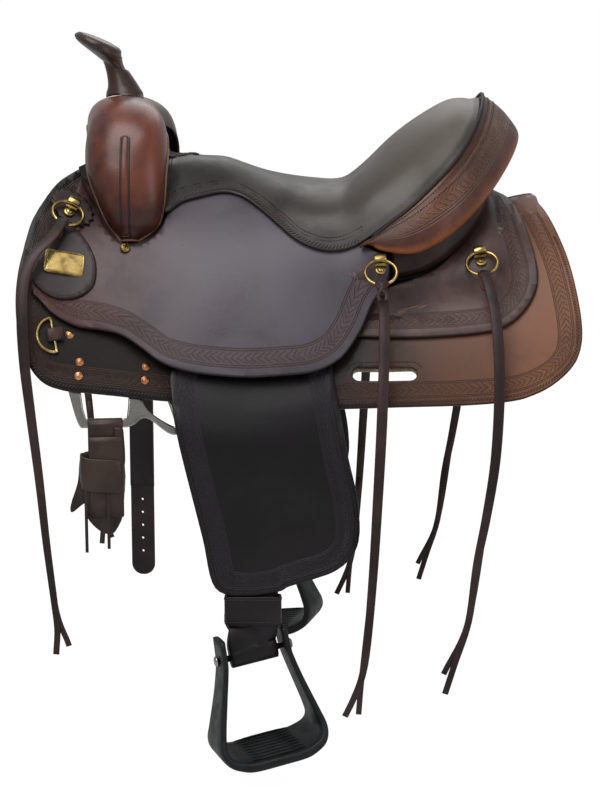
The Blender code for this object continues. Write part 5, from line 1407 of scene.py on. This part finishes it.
for i in range(ROLL_FIRST, 2 * len(SEAT_EDGE) + 1):
    along = (line[i + 1] - line[i - 1]).normalized()
    grown = smooth_step((i - ROLL_FIRST) / 5)
    rim = line[i] + Vector((-along.y, along.x, 0)) * ROLL_GAP * (2 - grown)
    edge = edges[i - ROLL_FIRST]
    lift = seat_form(rim.x, rim.y) + LAID_GAP + PAD_EDGE
    start = on_horse(rim.x, rim.y, lift)
    normal = (on_horse(rim.x, rim.y, lift + 0.01) - start).normalized()
    out = edge - start
    run = (edges[i - ROLL_FIRST + 1] - edges[max(i - ROLL_FIRST - 1, 0)]).normalized()
    up = out.cross(run).normalized()
    if up.dot(normal) < 0:
        up = -up
    thick = ROLL_THICK * (0.25 + 0.75 * grown)
    lip = PAD_EDGE * 0.7 + (ROLL_LIP - PAD_EDGE * 0.7) * grown
    inner = ((0.06, 0.005, normal), (0.22, ROLL_BULGE * 0.9, up), (0.5, ROLL_BULGE, up),
             (0.8, ROLL_BULGE * 0.55, up), (0.95, 0.0, up))
    outer = ((0.985, 0.48), (0.88, 0.75), (0.62, 0.95), (0.34, 1.0))
    rings.append([start - normal * lip, start + normal * 0.002,
                  *(start + out * share + way * lift for share, lift, way in inner), edge - up * thick * 0.2,
                  *(start + out * share - up * thick * part for share, part in outer)])
    tops.append(start + out * 0.5 - up * (thick + 0.001))


def with_off_half(rings):
    """Rings from the near side to the middle, with the off side's after them."""
    return rings + [[on_side(p, -1) for p in ring] for ring in reversed(rings[:-1])]


def refined(rings, steps, round_steps):
    """More rings between the rings, and more points round each."""
    lines = [smooth_path([ring[k] for ring in rings], steps) for k in range(len(rings[0]))]
    return [smooth_path([one[i] for one in lines], round_steps, closed=True) for i in range(len(lines[0]))]


rings = refined(with_off_half(rings), 4, 4)
rims = []
for ring in rings:
    reach = [0.0] * BINDING_FIRST
    for k in range(BINDING_FIRST, BINDING_LAST + 1):
        reach.append(reach[-1] + (ring[k] - ring[k - 1]).length)
    stretch = BINDING_WIDTH / max(reach[-1], 0.01)
    rims.append([r * stretch for r in reach] + [BINDING_WIDTH] * (len(ring) - len(reach)))
runs = [0.0]
for i in range(1, len(rings)):
    runs.append(runs[-1] + (rings[i][BINDING_LAST] - rings[i - 1][BINDING_LAST]).length)
cantle_leather = leather("cantle_leather", (66, 34, 28), (104, 62, 46), 0.34, crease=0.35,
                         band=(0.0095, 0.021, (214, 170, 140)), edge=((158, 88, 44), 0.043, 0.06), coat=0.15)
settle(loft("cantle_roll_binding", rings, cantle_leather, "tan_brown", rim=rims, run=runs), "saddle",
       "cantle_roll")
piping_dark = leather("piping_dark", (22, 15, 15), (38, 26, 24), 0.48, crease=0.3)
settle(tube("cantle_piping", [ring[5] + (ring[6] - ring[4]).normalized() * 0.001 for ring in rings[3:-3]],
            0.0026, piping_dark, "dark_brown"), "saddle")
stitched = rings[4:-4]
for label, spot in (("inner", 10), ("outer", 12)):
    points, ways = [], []
    for i, ring in enumerate(stitched):
        ahead = rings[min(i + 5, len(rings) - 1)][spot] - ring[spot]
        way = (ring[spot + 1] - ring[spot - 1]).cross(ahead).normalized()
        ways.append(way if way.dot(ring[16] - ring[40]) > 0 else -way)
        points.append(ring[spot] + ways[-1] * STITCH_RISE)
    settle(stitch_rows(f"cantle_seam_{label}", [(points, ways, False)], dark_thread, "tan_brown",
                       length=0.0036), "saddle")

walls = []
feet = smooth_path([(x, girth, 0) for x, girth in CANTLE_BACK_FOOT], 2)
tops = tops[len(tops) - len(feet):]
for i, (top, (x, girth, _)) in enumerate(zip(tops, feet, strict=True)):
    along = feet[max(i - 1, 0)] - feet[i + 1] if i + 1 < len(feet) else Vector((0, 1, 0))
    inward = Vector((-abs(along.y), abs(along.x), 0)).normalized() * CANTLE_BACK_LEATHER
    low = [on_horse(*place, rear_jockey_out(*place) + 0.0012)
           for place in ((x + inward.x, girth - inward.y), (x, girth))]
    wall = [top.lerp(top + inward, t) for t in (0, 0.5)]
    wall += [(top + inward).lerp(low[0], k / 6) for k in range(7)]
    wall += [low[1].lerp(top, k / 6) - inward * 0.35 * math.sin(math.pi * k / 6) for k in range(6)]
    walls.append(wall)
walls = with_off_half(walls)
lines = [smooth_path([ring[k] for ring in walls], 4) for k in range(len(walls[0]))]
walls = [[one[i] for one in lines] for i in range(len(lines[0]))]
# The back's leather is toned dark as painted shade: it stands for the shade that falls under the roll.
settle(loft("cantle_back_leather", walls, leather("cantle_back", (34, 21, 19), (60, 40, 35), 0.4),
            "dark_brown"), "saddle", "cantle_back")


# Stirrup leathers and fenders: a heavy strap doubled over the bar, with the broad fender sewn over it. They
# swing about the bar, and their faces are surfaces of revolution about it.
HINGE = (-0.058, -0.147, -0.02)
HINGE_RISE = math.radians(28)
HINGE_TURN = math.radians(6)
SWING_LINE = ((0.0, -0.0143), (0.03, -0.0076), (0.06, 0.001), (0.09, 0.0028), (0.12, 0.0032),
              (0.14, 0.003), (0.16, 0.0032), (0.18, 0.0042), (0.2, 0.006), (0.23, 0.0085),
              (0.262, 0.0045), (0.3, -0.0135), (0.35, -0.0435), (0.5, -0.123), (0.62, -0.1875))
LEATHER = 0.0042
FENDER = 0.0045
LEATHER_WIDTH = 0.062
LEATHER_TOP_Z = -0.02
LEATHER_LOW_Z = -0.478
FENDER_OUTLINE = (
    (-0.098, -0.066), (-0.1, -0.092), (-0.128, -0.128), (-0.157, -0.16), (-0.156, -0.194), (-0.149, -0.236),
    (-0.134, -0.301), (-0.119, -0.364), (-0.104, -0.426), (-0.064, -0.436), (-0.026, -0.432),
    (-0.013, -0.426), (0.017, -0.418), (0.042, -0.41), (0.06, -0.397), (0.071, -0.379), (0.074, -0.354),
    (0.07, -0.314), (0.059, -0.265), (0.051, -0.222), (0.043, -0.18), (0.034, -0.14), (0.01, -0.105),
    (-0.016, -0.088), (-0.018, -0.066),
)


def divided(corners, parts):
    """A closed outline with its sides cut up; parts gives the number for a side's length."""
    line = []
    for i, (ax, az) in enumerate(corners):
        bx, bz = corners[(i + 1) % len(corners)]
        count = parts(math.hypot(bx - ax, bz - az))
        line += [(ax + (bx - ax) * k / count, az + (bz - az) * k / count) for k in range(count)]
    return line


def hanging(x, z, depth):
    """The point at that place in side view that lies depth outside the leathers' inner face, near side."""
    level = math.cos(HINGE_RISE)
    axis = Vector((math.sin(HINGE_TURN) * level, -math.cos(HINGE_TURN) * level, math.sin(HINGE_RISE)))
    near, far = 0.08, 0.42
    for _ in range(24):
        middle = (near + far) / 2
        reach = Vector((x, -middle, z)) - Vector(HINGE)
        along = reach.dot(axis)
        if along > curve_value(SWING_LINE, (reach - along * axis).length) + depth:
            far = middle
        else:
            near = middle
    return Vector((x, -near, z))


# Light tone of the black borders on the edges of the cuts: burnish together with a painted highlight.
tooled_grey = (120, 108, 120)
fender_leather = leather("fender_leather", (8, 6, 8), (20, 16, 19), 0.36, crease=0.45,
                         band=(0.011, 0.016, tooled_grey), rim=((16, 13, 14), 0.0024))
fender_line = dense_outline(FENDER_OUTLINE)
fender_low = LEATHER + GAP
both_sides(panel("fender_left_leather", fender_line, 0.009, hanging, fender_low, fender_low + FENDER,
                 fender_leather, "fender_black"), "leathers_left", "fender_left")
edge = part_of(inner_line(fender_line, 0.0048), lambda x, z: z < -0.13)
rows_both("fender_seam", "leathers_left", [seam(edge, hanging, fender_low + FENDER)], dark_thread,
          "fender_black", spacing=0.004, length=0.0032)
strap_tones = (12, 9, 11), (28, 23, 26)
strap_leather = leather("strap_leather", *strap_tones, 0.42, crease=0.4, band=(0.006, 0.011, tooled_grey))
half = LEATHER_WIDTH / 2
front, rear = HINGE[0] - half, HINGE[0] + half
corners = [(front, LEATHER_TOP_Z), (rear, LEATHER_TOP_Z), (rear, LEATHER_LOW_Z), (front, LEATHER_LOW_Z)]
both_sides(panel("stirrup_leather_left_strap", divided(corners, lambda length: 20), 0.0105, hanging, 0.0,
                 LEATHER, strap_leather, "fender_black"), "leathers_left", "stirrup_leather_left")


# The eyes of the stirrup leathers: below the hobble each strap turns a little outwards and thickens into a
# moulded loop, which the bolt in the stirrup's head goes through.
STIRRUP_YAW = math.radians(18)
STIRRUP_LEAN = math.radians(9)
BOLT_Z = -0.51
HEAD_HALF = 0.0405
EYE_THICK = 0.02
EYE_HEIGHT = 0.024
level = math.cos(STIRRUP_LEAN)
across = Vector((math.cos(STIRRUP_YAW) * level, math.sin(STIRRUP_YAW) * level, math.sin(STIRRUP_LEAN)))
up = Vector((-math.sin(STIRRUP_LEAN), 0, math.cos(STIRRUP_LEAN)))
up = squared(up, across)
bolt = hanging(HINGE[0], BOLT_Z, LEATHER / 2)
stirrup_frame = axes_at(bolt, across, up.cross(across), up)
route = smooth_path([hanging(HINGE[0], LEATHER_LOW_Z + 0.006, LEATHER / 2),
                     hanging(HINGE[0], LEATHER_LOW_Z - 0.002, LEATHER / 2), bolt + up * EYE_HEIGHT * 0.6,
                     bolt + up * EYE_HEIGHT * 0.25, bolt - up * EYE_HEIGHT * 0.25,
                     bolt - up * EYE_HEIGHT * 0.5], 5)
thicks = smooth_path([(t, 0) for t in (LEATHER * 1.1, LEATHER * 1.25, EYE_THICK * 0.66, EYE_THICK * 0.97,
                                       EYE_THICK * 0.97, EYE_THICK * 0.45)], 5)
eye_section = [(1, 0.8, 0), *((s, 1, 1.5) for s in (1, 0.5, 0, -0.5, -1)), (-1, 0.8, 0), (-1, -0.8, 0),
               *((s, -1, 1.5) for s in (-1, -0.5, 0, 0.5, 1)), (1, -0.8, 0)]
rings = []
for i, place in enumerate(route):
    along = heading(route, i)
    side = squared(Vector((1, 0, 0)).lerp(across, smooth_step(i / 10)), along)
    face = along.cross(side)
    w, t = LEATHER_WIDTH * 0.485, thicks[i].x / 2
    rings.append([place + side * (w - 0.001 + 0.001 * math.cos(a)) * s + face * t * v for s, v,
                  a in eye_section])
both_sides(loft("stirrup_leather_left_eye", rings, leather("eye_leather", *strap_tones, 0.42),
                "fender_black"), "leathers_left")


# The hobble straps: short leather bands round the stirrup leathers, sewn along both edges, that keep the
# stirrup's head in line.
HOBBLE_TOP_Z = -0.437
HOBBLE_HEIGHT = 0.036
HOBBLE_LEATHER = 0.003
HOBBLE_ROOM = 0.0012
half = LEATHER_WIDTH / 2 + HOBBLE_ROOM
hems = (HOBBLE_TOP_Z, HOBBLE_TOP_Z - HOBBLE_HEIGHT)
spots = [(HINGE[0] + side * half, z) for side in (-1, 0, 1) for z in hems]
inner = min(-hanging(x, z, 0).y for x, z in spots) - HOBBLE_ROOM
outer = max(-hanging(x, z, LEATHER).y for x, z in spots) + HOBBLE_ROOM


def hobble_loop(grow, z):
    """Points round the strap, grow outside its inner face."""
    corner = 0.002 + grow
    loop = []
    for cx, cy, first in ((1, 1, 0), (-1, 1, 90), (-1, -1, 180), (1, -1, 270)):
        for k in range(6):
            angle = math.radians(first + 18 * k)
            loop.append(Vector((HINGE[0] + cx * (half + grow - corner) + corner * math.cos(angle),
                                -(inner + outer) / 2 + cy * ((outer - inner) / 2 + grow - corner)
                                + corner * math.sin(angle), z)))
    return loop


profile = ((0.0, -0.001), (0.0006, -0.0002), (0.0015, 0.0), (0.0024, -0.0002), (0.003, -0.001))
profile = [*profile, *[(grow, -HOBBLE_HEIGHT - z) for grow, z in reversed(profile)]]
rings = [hobble_loop(grow, HOBBLE_TOP_Z + z) for grow, z in profile]
hobble_leather = leather("hobble_leather", (13, 10, 12), (32, 26, 28), 0.42, crease=0.4)
both_sides(loft("hobble_strap_left_band", rings, hobble_leather, "fender_black", closed=True),
           "leathers_left", "hobble_strap_left")
lines = []
for z in (HOBBLE_TOP_Z - 0.004, HOBBLE_TOP_Z - HOBBLE_HEIGHT + 0.004):
    points = hobble_loop(HOBBLE_LEATHER + 0.0002, z)
    beyond = hobble_loop(HOBBLE_LEATHER + 0.003, z)
    lines.append((points, [(q - p).normalized() for p, q in zip(points, beyond)], True))
rows_both("hobble_seam", "leathers_left", lines, dark_thread, "fender_black")


# The stirrups: one-piece moulded black nylon with a deep flared tread that has raised grip bars. Each hangs
# by a steel bolt through the eye of its leather.
STIRRUP_SECTIONS = (
    (-0.04, 0.026, 0.038, 0.008), (-0.041, 0.0, 0.042, 0.008), (-0.043, -0.014, 0.042, 0.008),
    (-0.0505, -0.045, 0.046, 0.0085), (-0.061, -0.084, 0.06, 0.0095), (-0.065, -0.105, 0.074, 0.011),
    (-0.059, -0.119, 0.09, 0.013), (-0.044, -0.1262, 0.098, 0.015), (-0.03, -0.1285, 0.102, 0.0155),
    (0.0, -0.1285, 0.104, 0.0155),
)


def moulded(name):
    """Moulded nylon with a fine pebbled face, scuffed a little greyer."""
    made, tree, shader = new_material(name)
    worn = place_node(tree, "ShaderNodeGroup", node_tree=wear_group).outputs["Clouds"]
    shader.inputs["Specular IOR Level"].default_value = 0.25
    connect(tree, shader, blend_colour(tree, worn, tone(12, 13, 15), tone(24, 26, 28)),
            spread(tree, worn, 0.0, 1.0, 0.42, 0.55), bump_node(tree, cells_node(tree, 750.0), 0.25, 0.0005))
    return made


nylon = moulded("nylon")
path = smooth_path(mirrored(STIRRUP_SECTIONS), 5)
rings = []
for i, (x, z, depth, thick) in enumerate(path):
    a, b = path[max(i - 1, 0)], path[min(i + 1, len(path) - 1)]
    along = Vector((b[0] - a[0], 0, b[1] - a[1])).normalized()
    out = Vector((-along.z, 0, along.x))
    rings.append([stirrup_frame @ (Vector((x, a, z)) + out * b)
                  for a, b in round_points(28, 0.5 * depth, 0.5 * thick, (0.35, 0.55))])
both_sides(loft("stirrup_left_frame", rings, nylon, "moulded_black"), "stirrup_left", "stirrup_left")
_, tread_z, _, tread_thick = STIRRUP_SECTIONS[-1]
points = [stirrup_frame @ Vector((0, -0.042 + 0.084 * k / 12, tread_z + tread_thick / 2)) for k in range(13)]
rows_both("stirrup_grip", "stirrup_left", [(points, [stirrup_frame.to_3x3() @ Vector((0, 0, 1))] * 13,
                                            False)], nylon, "moulded_black", spacing=0.0105, length=0.074,
          thickness=0.003, slant=math.pi / 2)
along_bolt = stirrup_frame @ Matrix.Rotation(math.pi / 2, 4, "Y")
end = HEAD_HALF + 0.006
bolt_head = [(r, end + z) for r, z in ((0.004, 0), (0.0068, 0.0002), (0.0066, 0.0022), (0.005, 0.0038),
                                       (0.002, 0.0045))]
both_sides(turned("stirrup_bolt_left_pin", along_bolt, [*((r, -z) for r, z in reversed(bolt_head)),
                                                        *bolt_head], steel, "steel", 24), "stirrup_left",
           "stirrup_bolt_left")


# Rings and clips: three brass rings a side, each held by a folded brass strap and a cross-head screw. The
# front pair sits on scalloped leather rosettes.
CLIP_WIDTH = 0.015
CLIP_THICK = 0.0118
CLIP_REACH = 0.005
CLIP_WALL = 0.0014
ROSETTE_RADIUS = 0.026
SCALLOPS = 16
TAB_PROFILE = ((0.0066, 0.0), (0.0068, 0.0004), (0.0068, 0.0012), (0.0063, 0.0016), (0.002, 0.0017))
SCREW_PROFILE = ((0.0042, 0.0015), (0.0043, 0.0022), (0.0038, 0.0033), (0.0028, 0.0038), (0.001, 0.004))


def folded_strap(name, matrix, width, thick, reach, wall, material, slot):
    """A strap folded round a rod that lies along local X, open at the free end (+Y)."""
    outer, inner = [], []
    middle = thick / 2
    for k in range(9):
        angle = math.pi / 2 + math.pi * k / 8
        outer.append((-reach * 0.42 + middle * math.cos(angle), middle + middle * math.sin(angle)))
        hollow = middle - wall
        inner.append((-reach * 0.42 + hollow * math.cos(angle), middle + hollow * math.sin(angle)))
    profile = [(reach, thick), *outer, (reach, 0.0), (reach, wall), *reversed(inner), (reach, thick - wall)]
    rings = []
    for x, grow in ((-0.5, 0.00035), (-0.46, 0.0), (0.0, 0.0), (0.46, 0.0), (0.5, 0.00035)):
        pull = 1 - 2 * grow / thick
        rings.append([matrix @ Vector((x * width, y * pull, middle + (z - middle) * pull)) for y,
                      z in profile])
    return loft(name, rings, material, slot)


def cross_slot(name, matrix, size, material):
    """The cross of a screw's head: a thin dark sheet on top of the head, painted shade for the recessed slot.
    """
    w = size * 0.22
    outline = [(w, w), (w, size), (-w, size), (-w, w), (-size, w), (-size, -w), (-w, -w), (-w, -size),
               (w, -size), (w, -w), (size, -w), (size, w)]
    rings = [[matrix @ Vector((x, y, z)) for x, y in outline] for z in (0.0, 0.0004)]
    return loft(name, rings, material, "brass")


def on_jockey(low, high):
    """The heights between which a small leather lies on the seat jockey."""
    return (lambda a, b: seat_form(a, b) + low), (lambda a, b: seat_form(a, b) + high)


# Near-black metal for the screws' cross slots: painted shade in the slots.
slot_painted_shade = metal("slot_painted_shade", (52, 44, 32), (30, 26, 20), 0.5)
rosette_leather = leather("rosette_leather", (36, 26, 25), (64, 48, 44), 0.42,
                          rim=((22, 16, 16), 0.0022))
for label, (x, girth) in RING_PLACES.items():
    seat_matrix = ring_frame(label)
    if label == "front":
        scallops = []
        for k in range(12 * SCALLOPS):
            angle = math.tau * k / (12 * SCALLOPS)
            radius = ROSETTE_RADIUS - 0.0014 * math.cos(angle * SCALLOPS)
            scallops.append((x + radius * math.cos(angle), girth + radius * math.sin(angle)))
        both_sides(panel("rosette_left_leather", scallops, 0.006, on_horse, *on_jockey(0.0009, 0.0038),
                         rosette_leather, "lace_brown", lip=0.0008), "saddle", "rosette_left")
    both_sides(folded_strap(f"ring_clip_{label}_left_strap", seat_matrix, CLIP_WIDTH, CLIP_THICK, CLIP_REACH,
                            CLIP_WALL, brass, "brass"), "saddle", f"ring_clip_{label}_left")
    screw_at = seat_matrix @ Matrix.Translation((0, CLIP_THICK, 0))
    both_sides(turned(f"ring_tab_{label}_left", screw_at, TAB_PROFILE, brass, "brass", 28))
    both_sides(turned(f"ring_screw_{label}_left", screw_at, SCREW_PROFILE, brass, "brass", 24))
    both_sides(cross_slot(f"ring_screw_slot_{label}_left", screw_at @ Matrix.Translation((0, 0, 0.0038)),
                          0.0024, slot_painted_shade))
    centre = seat_matrix @ Matrix.Translation((0, RING_RADIUS, RING_STAND))
    circle = [centre @ Vector((a, b, 0)) for a, b in round_points(64, RING_RADIUS, RING_RADIUS)]
    both_sides(tube(f"ring_{label}_left_wire", circle, RING_WIRE, brass, "brass", closed=True, sides=14),
               f"ring_{label}_left", f"ring_{label}_left")


# The tag: a flat leather tag, sewn round its edge to the front of the near jockey. A blank brass plate with a
# raised border is pinned to it.
TAG_OUTLINE = ((-0.272, 0.176), (-0.259, 0.192), (-0.252, 0.212), (-0.254, 0.237), (-0.268, 0.257),
               (-0.285, 0.269), (-0.302, 0.275), (-0.32, 0.272), (-0.331, 0.262), (-0.327, 0.243),
               (-0.317, 0.222), (-0.308, 0.2), (-0.297, 0.176), (-0.285, 0.17))
TAG_MIDDLE = (-0.291, 0.226)
tag_line = dense_outline(TAG_OUTLINE)
tag_leather = leather("tag_leather", (30, 24, 24), (54, 44, 42), 0.4, rim=((20, 15, 15), 0.003))
tag_heights = on_jockey(0.0009, 0.0036)
settle(panel("tag_left_leather", tag_line, 0.007, on_horse, *tag_heights, tag_leather, "lace_brown"),
       "saddle", "tag_left")
tag_seam = seam(inner_line(tag_line, 0.0042), on_horse, tag_heights[1], closed=True)
settle(stitch_rows("tag_seam", [tag_seam], dark_thread, "lace_brown", spacing=0.0038, length=0.003), "saddle")
PLATE_SIZE = (0.025, 0.0165)
PLATE_TURN = math.radians(-19)
plate_frame = frame_matrix(*TAG_MIDDLE, seat_form(*TAG_MIDDLE) + 0.0052) @ Matrix.Rotation(PLATE_TURN, 4, "Z")


def rounded_plate(grow):
    """A rectangle with rounded corners, larger all round by grow."""
    return round_points(64, PLATE_SIZE[0] + grow, PLATE_SIZE[1] + grow, (0.22, 0.22))


settle(panel("tag_plate", rounded_plate(0.0), 0.004, lambda a, b, h: plate_frame @ Vector((a, b, h)), -0.0022,
             0.001, brass, "brass", lip=0.0005), "saddle")
border = [plate_frame @ Vector((a, b, 0.0011)) for a, b in rounded_plate(-0.0016)]
settle(tube("tag_plate_border", border, 0.001, brass, "brass", closed=True), "saddle")
for k, shift in enumerate((-0.0205, 0.0205)):
    pin = plate_frame @ Matrix.Translation((shift, 0, 0.0009))
    settle(turned(f"tag_pin_{k}", pin, ((0.0014, -0.002), (0.0018, 0.0), (0.0016, 0.0006), (0.0006, 0.0009)),
                  brass, "brass", 14), "saddle")


# Swell screws: a domed brass screw under each lobe of the swell, driven through the jockey's front corner
# into the bar of the tree. Its head has a cross slot.
SCREW_PLACE = (-0.2185, 0.1735)
screw_at = frame_matrix(*SCREW_PLACE, seat_form(*SCREW_PLACE) + 0.0017)
both_sides(turned("swell_screw_left_head", screw_at, ((0.0056, -0.0012), (0.0068, 0.0), (0.0068, 0.0008),
                                                      (0.006, 0.0021), (0.0042, 0.0029), (0.0015, 0.0033)),
                  brass, "brass", 28), "saddle", "swell_screw_left")
both_sides(cross_slot("swell_screw_slot_left", screw_at @ Matrix.Translation((0, 0, 0.0031)), 0.0036,
                      slot_painted_shade))


# The breast-collar dees: brass wire dees whose straight bar turns in a folded leather keeper sewn to the
# skirt.
DEE_TOP = (-0.305, 0.3)
DEE_FOOT = (-0.296, 0.336)
DEE_REACH = 0.02
DEE_WIRE = 0.0019
DEE_STAND = 0.0042
top = on_horse(*DEE_TOP, SKIRT_OUT + DEE_STAND)
foot = on_horse(*DEE_FOOT, SKIRT_OUT + DEE_STAND)
bar = (foot - top).normalized()
between = (Vector(DEE_TOP) + Vector(DEE_FOOT)) / 2
_, ahead, _, out = surface_frame(between.x, between.y, SKIRT_OUT)
reach = -squared(ahead, bar)
middle = (top + foot) / 2
half = (foot - top).length / 2
wire = [middle - bar * half * math.cos(math.pi * k / 28) + reach * DEE_REACH * math.sin(math.pi * k / 28)
        for k in range(29)]
wire += [middle + bar * half * k for k in (0.8, 0.55, 0.3, 0.0, -0.3, -0.55, -0.8)]
both_sides(tube("breast_dee_left_wire", wire, DEE_WIRE, brass, "brass", closed=True, sides=14),
           "breast_dee_left", "breast_dee_left")
hinge = bar if bar.cross(-reach).dot(out) > 0 else -bar
keeper_frame = axes_at(middle, hinge, -reach, hinge.cross(-reach))
keeper_leather = leather("keeper_leather", (48, 34, 30), (74, 54, 46), 0.42, crease=0.4)
both_sides(folded_strap("dee_keeper_left_loop", keeper_frame @ Matrix.Translation((0, 0, -0.003)), 0.0158,
                        0.0076, 0.0112, 0.0022, keeper_leather, "dark_brown"), "saddle", "dee_keeper_left")


# The latigo: the long near cinch strap of oiled leather, looped round the front loop's lower rod. Its free
# length is folded to and fro, put through a wide keeper and tied with two laces.
ROD_ENDS = (-0.26, -0.216)
ROD_Z = 0.5 * (FRONT_LOOP[5][1] + PLATE_OUTLINE[12][1])
LATIGO_WIDTH = 0.043
LATIGO_THICK = 0.0038
KEEPER_HALF = (0.0265, 0.0175)
KEEPER_MIDDLE = Vector((-0.0045, 0, -0.06))
KEEPER_SECTION = ((-0.0205, 0), (-0.0205, -0.0018), (-0.0195, -0.0022), (0.0195, -0.0022), (0.0205, -0.0018),
                  (0.0205, 0), (0.0195, 0.0006), (0.0, 0.0018), (-0.0195, 0.0006))
LATIGO_LOBES = {
    "lobe": (0.0095, 0.013, ((-0.026, -0.066), (0.004, -0.066), (0.008, -0.126), (0.002, -0.1345),
                              (-0.011, -0.1285), (-0.023, -0.1145), (-0.027, -0.098))),
    "back": (0.0045, 0.008, ((0.0, -0.066), (0.0205, -0.066), (0.02, -0.108), (0.014, -0.126),
                              (0.0055, -0.136), (-0.001, -0.13))),
    "tail": (0.0, 0.0034, ((-0.012, -0.03), (-0.03, -0.036), (-0.035, -0.07), (-0.044, -0.098),
                           (-0.0425, -0.108), (-0.029, -0.098), (-0.015, -0.09))),
    "turn": (-0.003, 0.0085, ((0.01, -0.001), (0.02, -0.002), (0.0225, -0.012), (0.0228, -0.05),
                               (0.01, -0.05))),
}
LOBE_HOLE = (-0.017, -0.103)
start, end = (on_plate(x, ROD_Z, PLATE_IN + PLATE / 2) for x in ROD_ENDS)
latigo_leather = leather("latigo_leather", (30, 22, 20), (62, 49, 43), 0.34, grain=1100.0, crease=0.9,
                         rim=((46, 32, 28), 0.0028))


def strap_frame(sign):
    """Matrix at the middle of the rod: X along the rod, Y outwards and Z up."""
    a, b = (on_side(p, sign) for p in (start, end))
    along = (b - a).normalized()
    out = Vector((along.y, -along.x, 0)).normalized() * sign
    up = out.cross(along) * sign
    if up.z < 0:
        up = -up
    return axes_at((a + b) / 2, along, out, up)


def laid_strap(name, matrix, path, width, thick, material, slot):
    """A strap of even width whose path lies in local Y-Z."""
    route = [matrix @ Vector((0, y, z)) for y, z in path]
    return strap(name, route, lambda t: width, lambda t: thick, matrix.to_3x3() @ Vector((1, 0, 0)), material,
                 slot, corner=0.1)


def bend_over(radius, middle):
    """The half turn of a strap over the rod."""
    turns = [math.radians(a) for a in range(-90, 91, 15)]
    return [(radius * math.sin(a), middle + radius * math.cos(a)) for a in turns]


near = strap_frame(1)
route = [(-0.0058, -0.11), (-0.0058, -0.05), *bend_over(0.0058, 0.001), (0.0058, -0.05), (0.0058, -0.112)]
settle(laid_strap("latigo_left_core", near, smooth_path(route, 2), LATIGO_WIDTH, LATIGO_THICK, latigo_leather,
                  "lace_brown"), "latigo_left", "latigo_left")
for k, (y, low, high) in enumerate(((0.0105, -0.108, -0.02), (-0.0105, -0.106, -0.022))):
    sign = math.copysign(1, y)
    path = [(y - sign * 0.0022, low), (y - sign * 0.002, high), (y - sign * 0.0008, high + 0.003),
            (y + sign * 0.0008, high + 0.0032), (y + sign * 0.0022, high), (y + sign * 0.0024, low - 0.004)]
    layer = laid_strap(f"latigo_left_fold_{k}", near, smooth_path(path, 4), 0.042, 0.0034, latigo_leather,
                       "lace_brown")
    settle(layer, "latigo_left")
rings = []
down = near.to_3x3() @ Vector((0, 0, -1))
for (a, b), (c, _) in zip(round_points(36, *KEEPER_HALF, (0.45, 0.6)), round_points(36)):
    place = near @ (KEEPER_MIDDLE + Vector((a, b, -0.004 * c)))
    out = (place - near @ KEEPER_MIDDLE).normalized()
    rings.append([place + down * z + out * t for z, t in KEEPER_SECTION])
settle(loft("latigo_left_keeper", rings, latigo_leather, "lace_brown", closed=True,
            rim=[0.03] * len(KEEPER_SECTION)), "latigo_left")
for label, (low, high, outline) in LATIGO_LOBES.items():
    punched = [[(LOBE_HOLE[0] + a, LOBE_HOLE[1] + b) for a, b in round_points(14, 0.0021, 0.0021)]]
    line = [tuple(p) for p in smooth_path((*outline, outline[0]), 8)[:-1]]
    settle(panel(f"latigo_left_{label}", line, 0.006,
                 lambda a, b, h: near @ Vector((a, h + 1.6 * (b + 0.1) * 0.02, b)), low, high, latigo_leather,
                 "lace_brown", holes=punched if label == "lobe" else ()), "latigo_left")
for k, (x, z) in enumerate(((-0.025, -0.082), (0.002, -0.078))):
    path = [(0.012, z + 0.012), (0.015, z), (0.019, z - 0.04), (0.013, z - 0.074)]
    lace = laid_strap(f"latigo_left_lace_{k}", near @ Matrix.Translation((x, 0, 0)), smooth_path(path, 5),
                      0.004, 0.0022, lace_leather, "lace_brown")
    settle(lace, "latigo_left")


# The billet: the off side's cinch strap, folded over the rod and sewn to itself with two rows. Its long end
# is single, rounded at the tip and punched with five holes.
BILLET_HALF = 0.0178
BILLET_TIP_Z = -0.312
BILLET_HOLES = (-0.212, -0.232, -0.252, -0.272, -0.292)
off = strap_frame(-1)
billet_leather = leather("billet_leather", (22, 16, 18), (42, 33, 34), 0.4, crease=0.5,
                         rim=((60, 40, 34), 0.0026))
path = [(-0.004, -0.19), (-0.0036, -0.1), (-0.004, -0.02), *bend_over(0.004, 0.0025), (0.004, -0.02),
        (0.0036, -0.1), (0.003, -0.192)]
settle(laid_strap("billet_right_loop", off, smooth_path(path, 3), 0.0355, 0.0034, billet_leather,
                  "fender_black"), "billet_right", "billet_right")
turns = [math.radians(a) for a in range(10, 180, 10)]
tip = [(-BILLET_HALF, -0.188), (BILLET_HALF, -0.188), (BILLET_HALF, BILLET_TIP_Z),
       *((BILLET_HALF * math.cos(a), BILLET_TIP_Z - 0.0175 * math.sin(a)) for a in turns),
       (-BILLET_HALF, BILLET_TIP_Z)]
holes = [[(a, z + b) for a, b in round_points(14, 0.0026, 0.0026)] for z in BILLET_HOLES]
settle(panel("billet_right_tip", divided(tip, lambda length: max(1, int(length / 0.006))), 0.008,
             lambda a, b, h: off @ Vector((a, h, b)), -0.002, 0.0021, billet_leather, "fender_black",
             holes=holes), "billet_right")
ways = [off.to_3x3() @ Vector((0, 1, 0))] * 20
lines = [([off @ Vector((x, 0.0058, low + step * k)) for k in range(20)], ways, False)
         for x, low, step in ((-0.014, -0.02, -0.0085), (0.014, -0.1815, 0.0085))]
settle(stitch_rows("billet_seam", lines, dark_thread, "fender_black"), "billet_right")
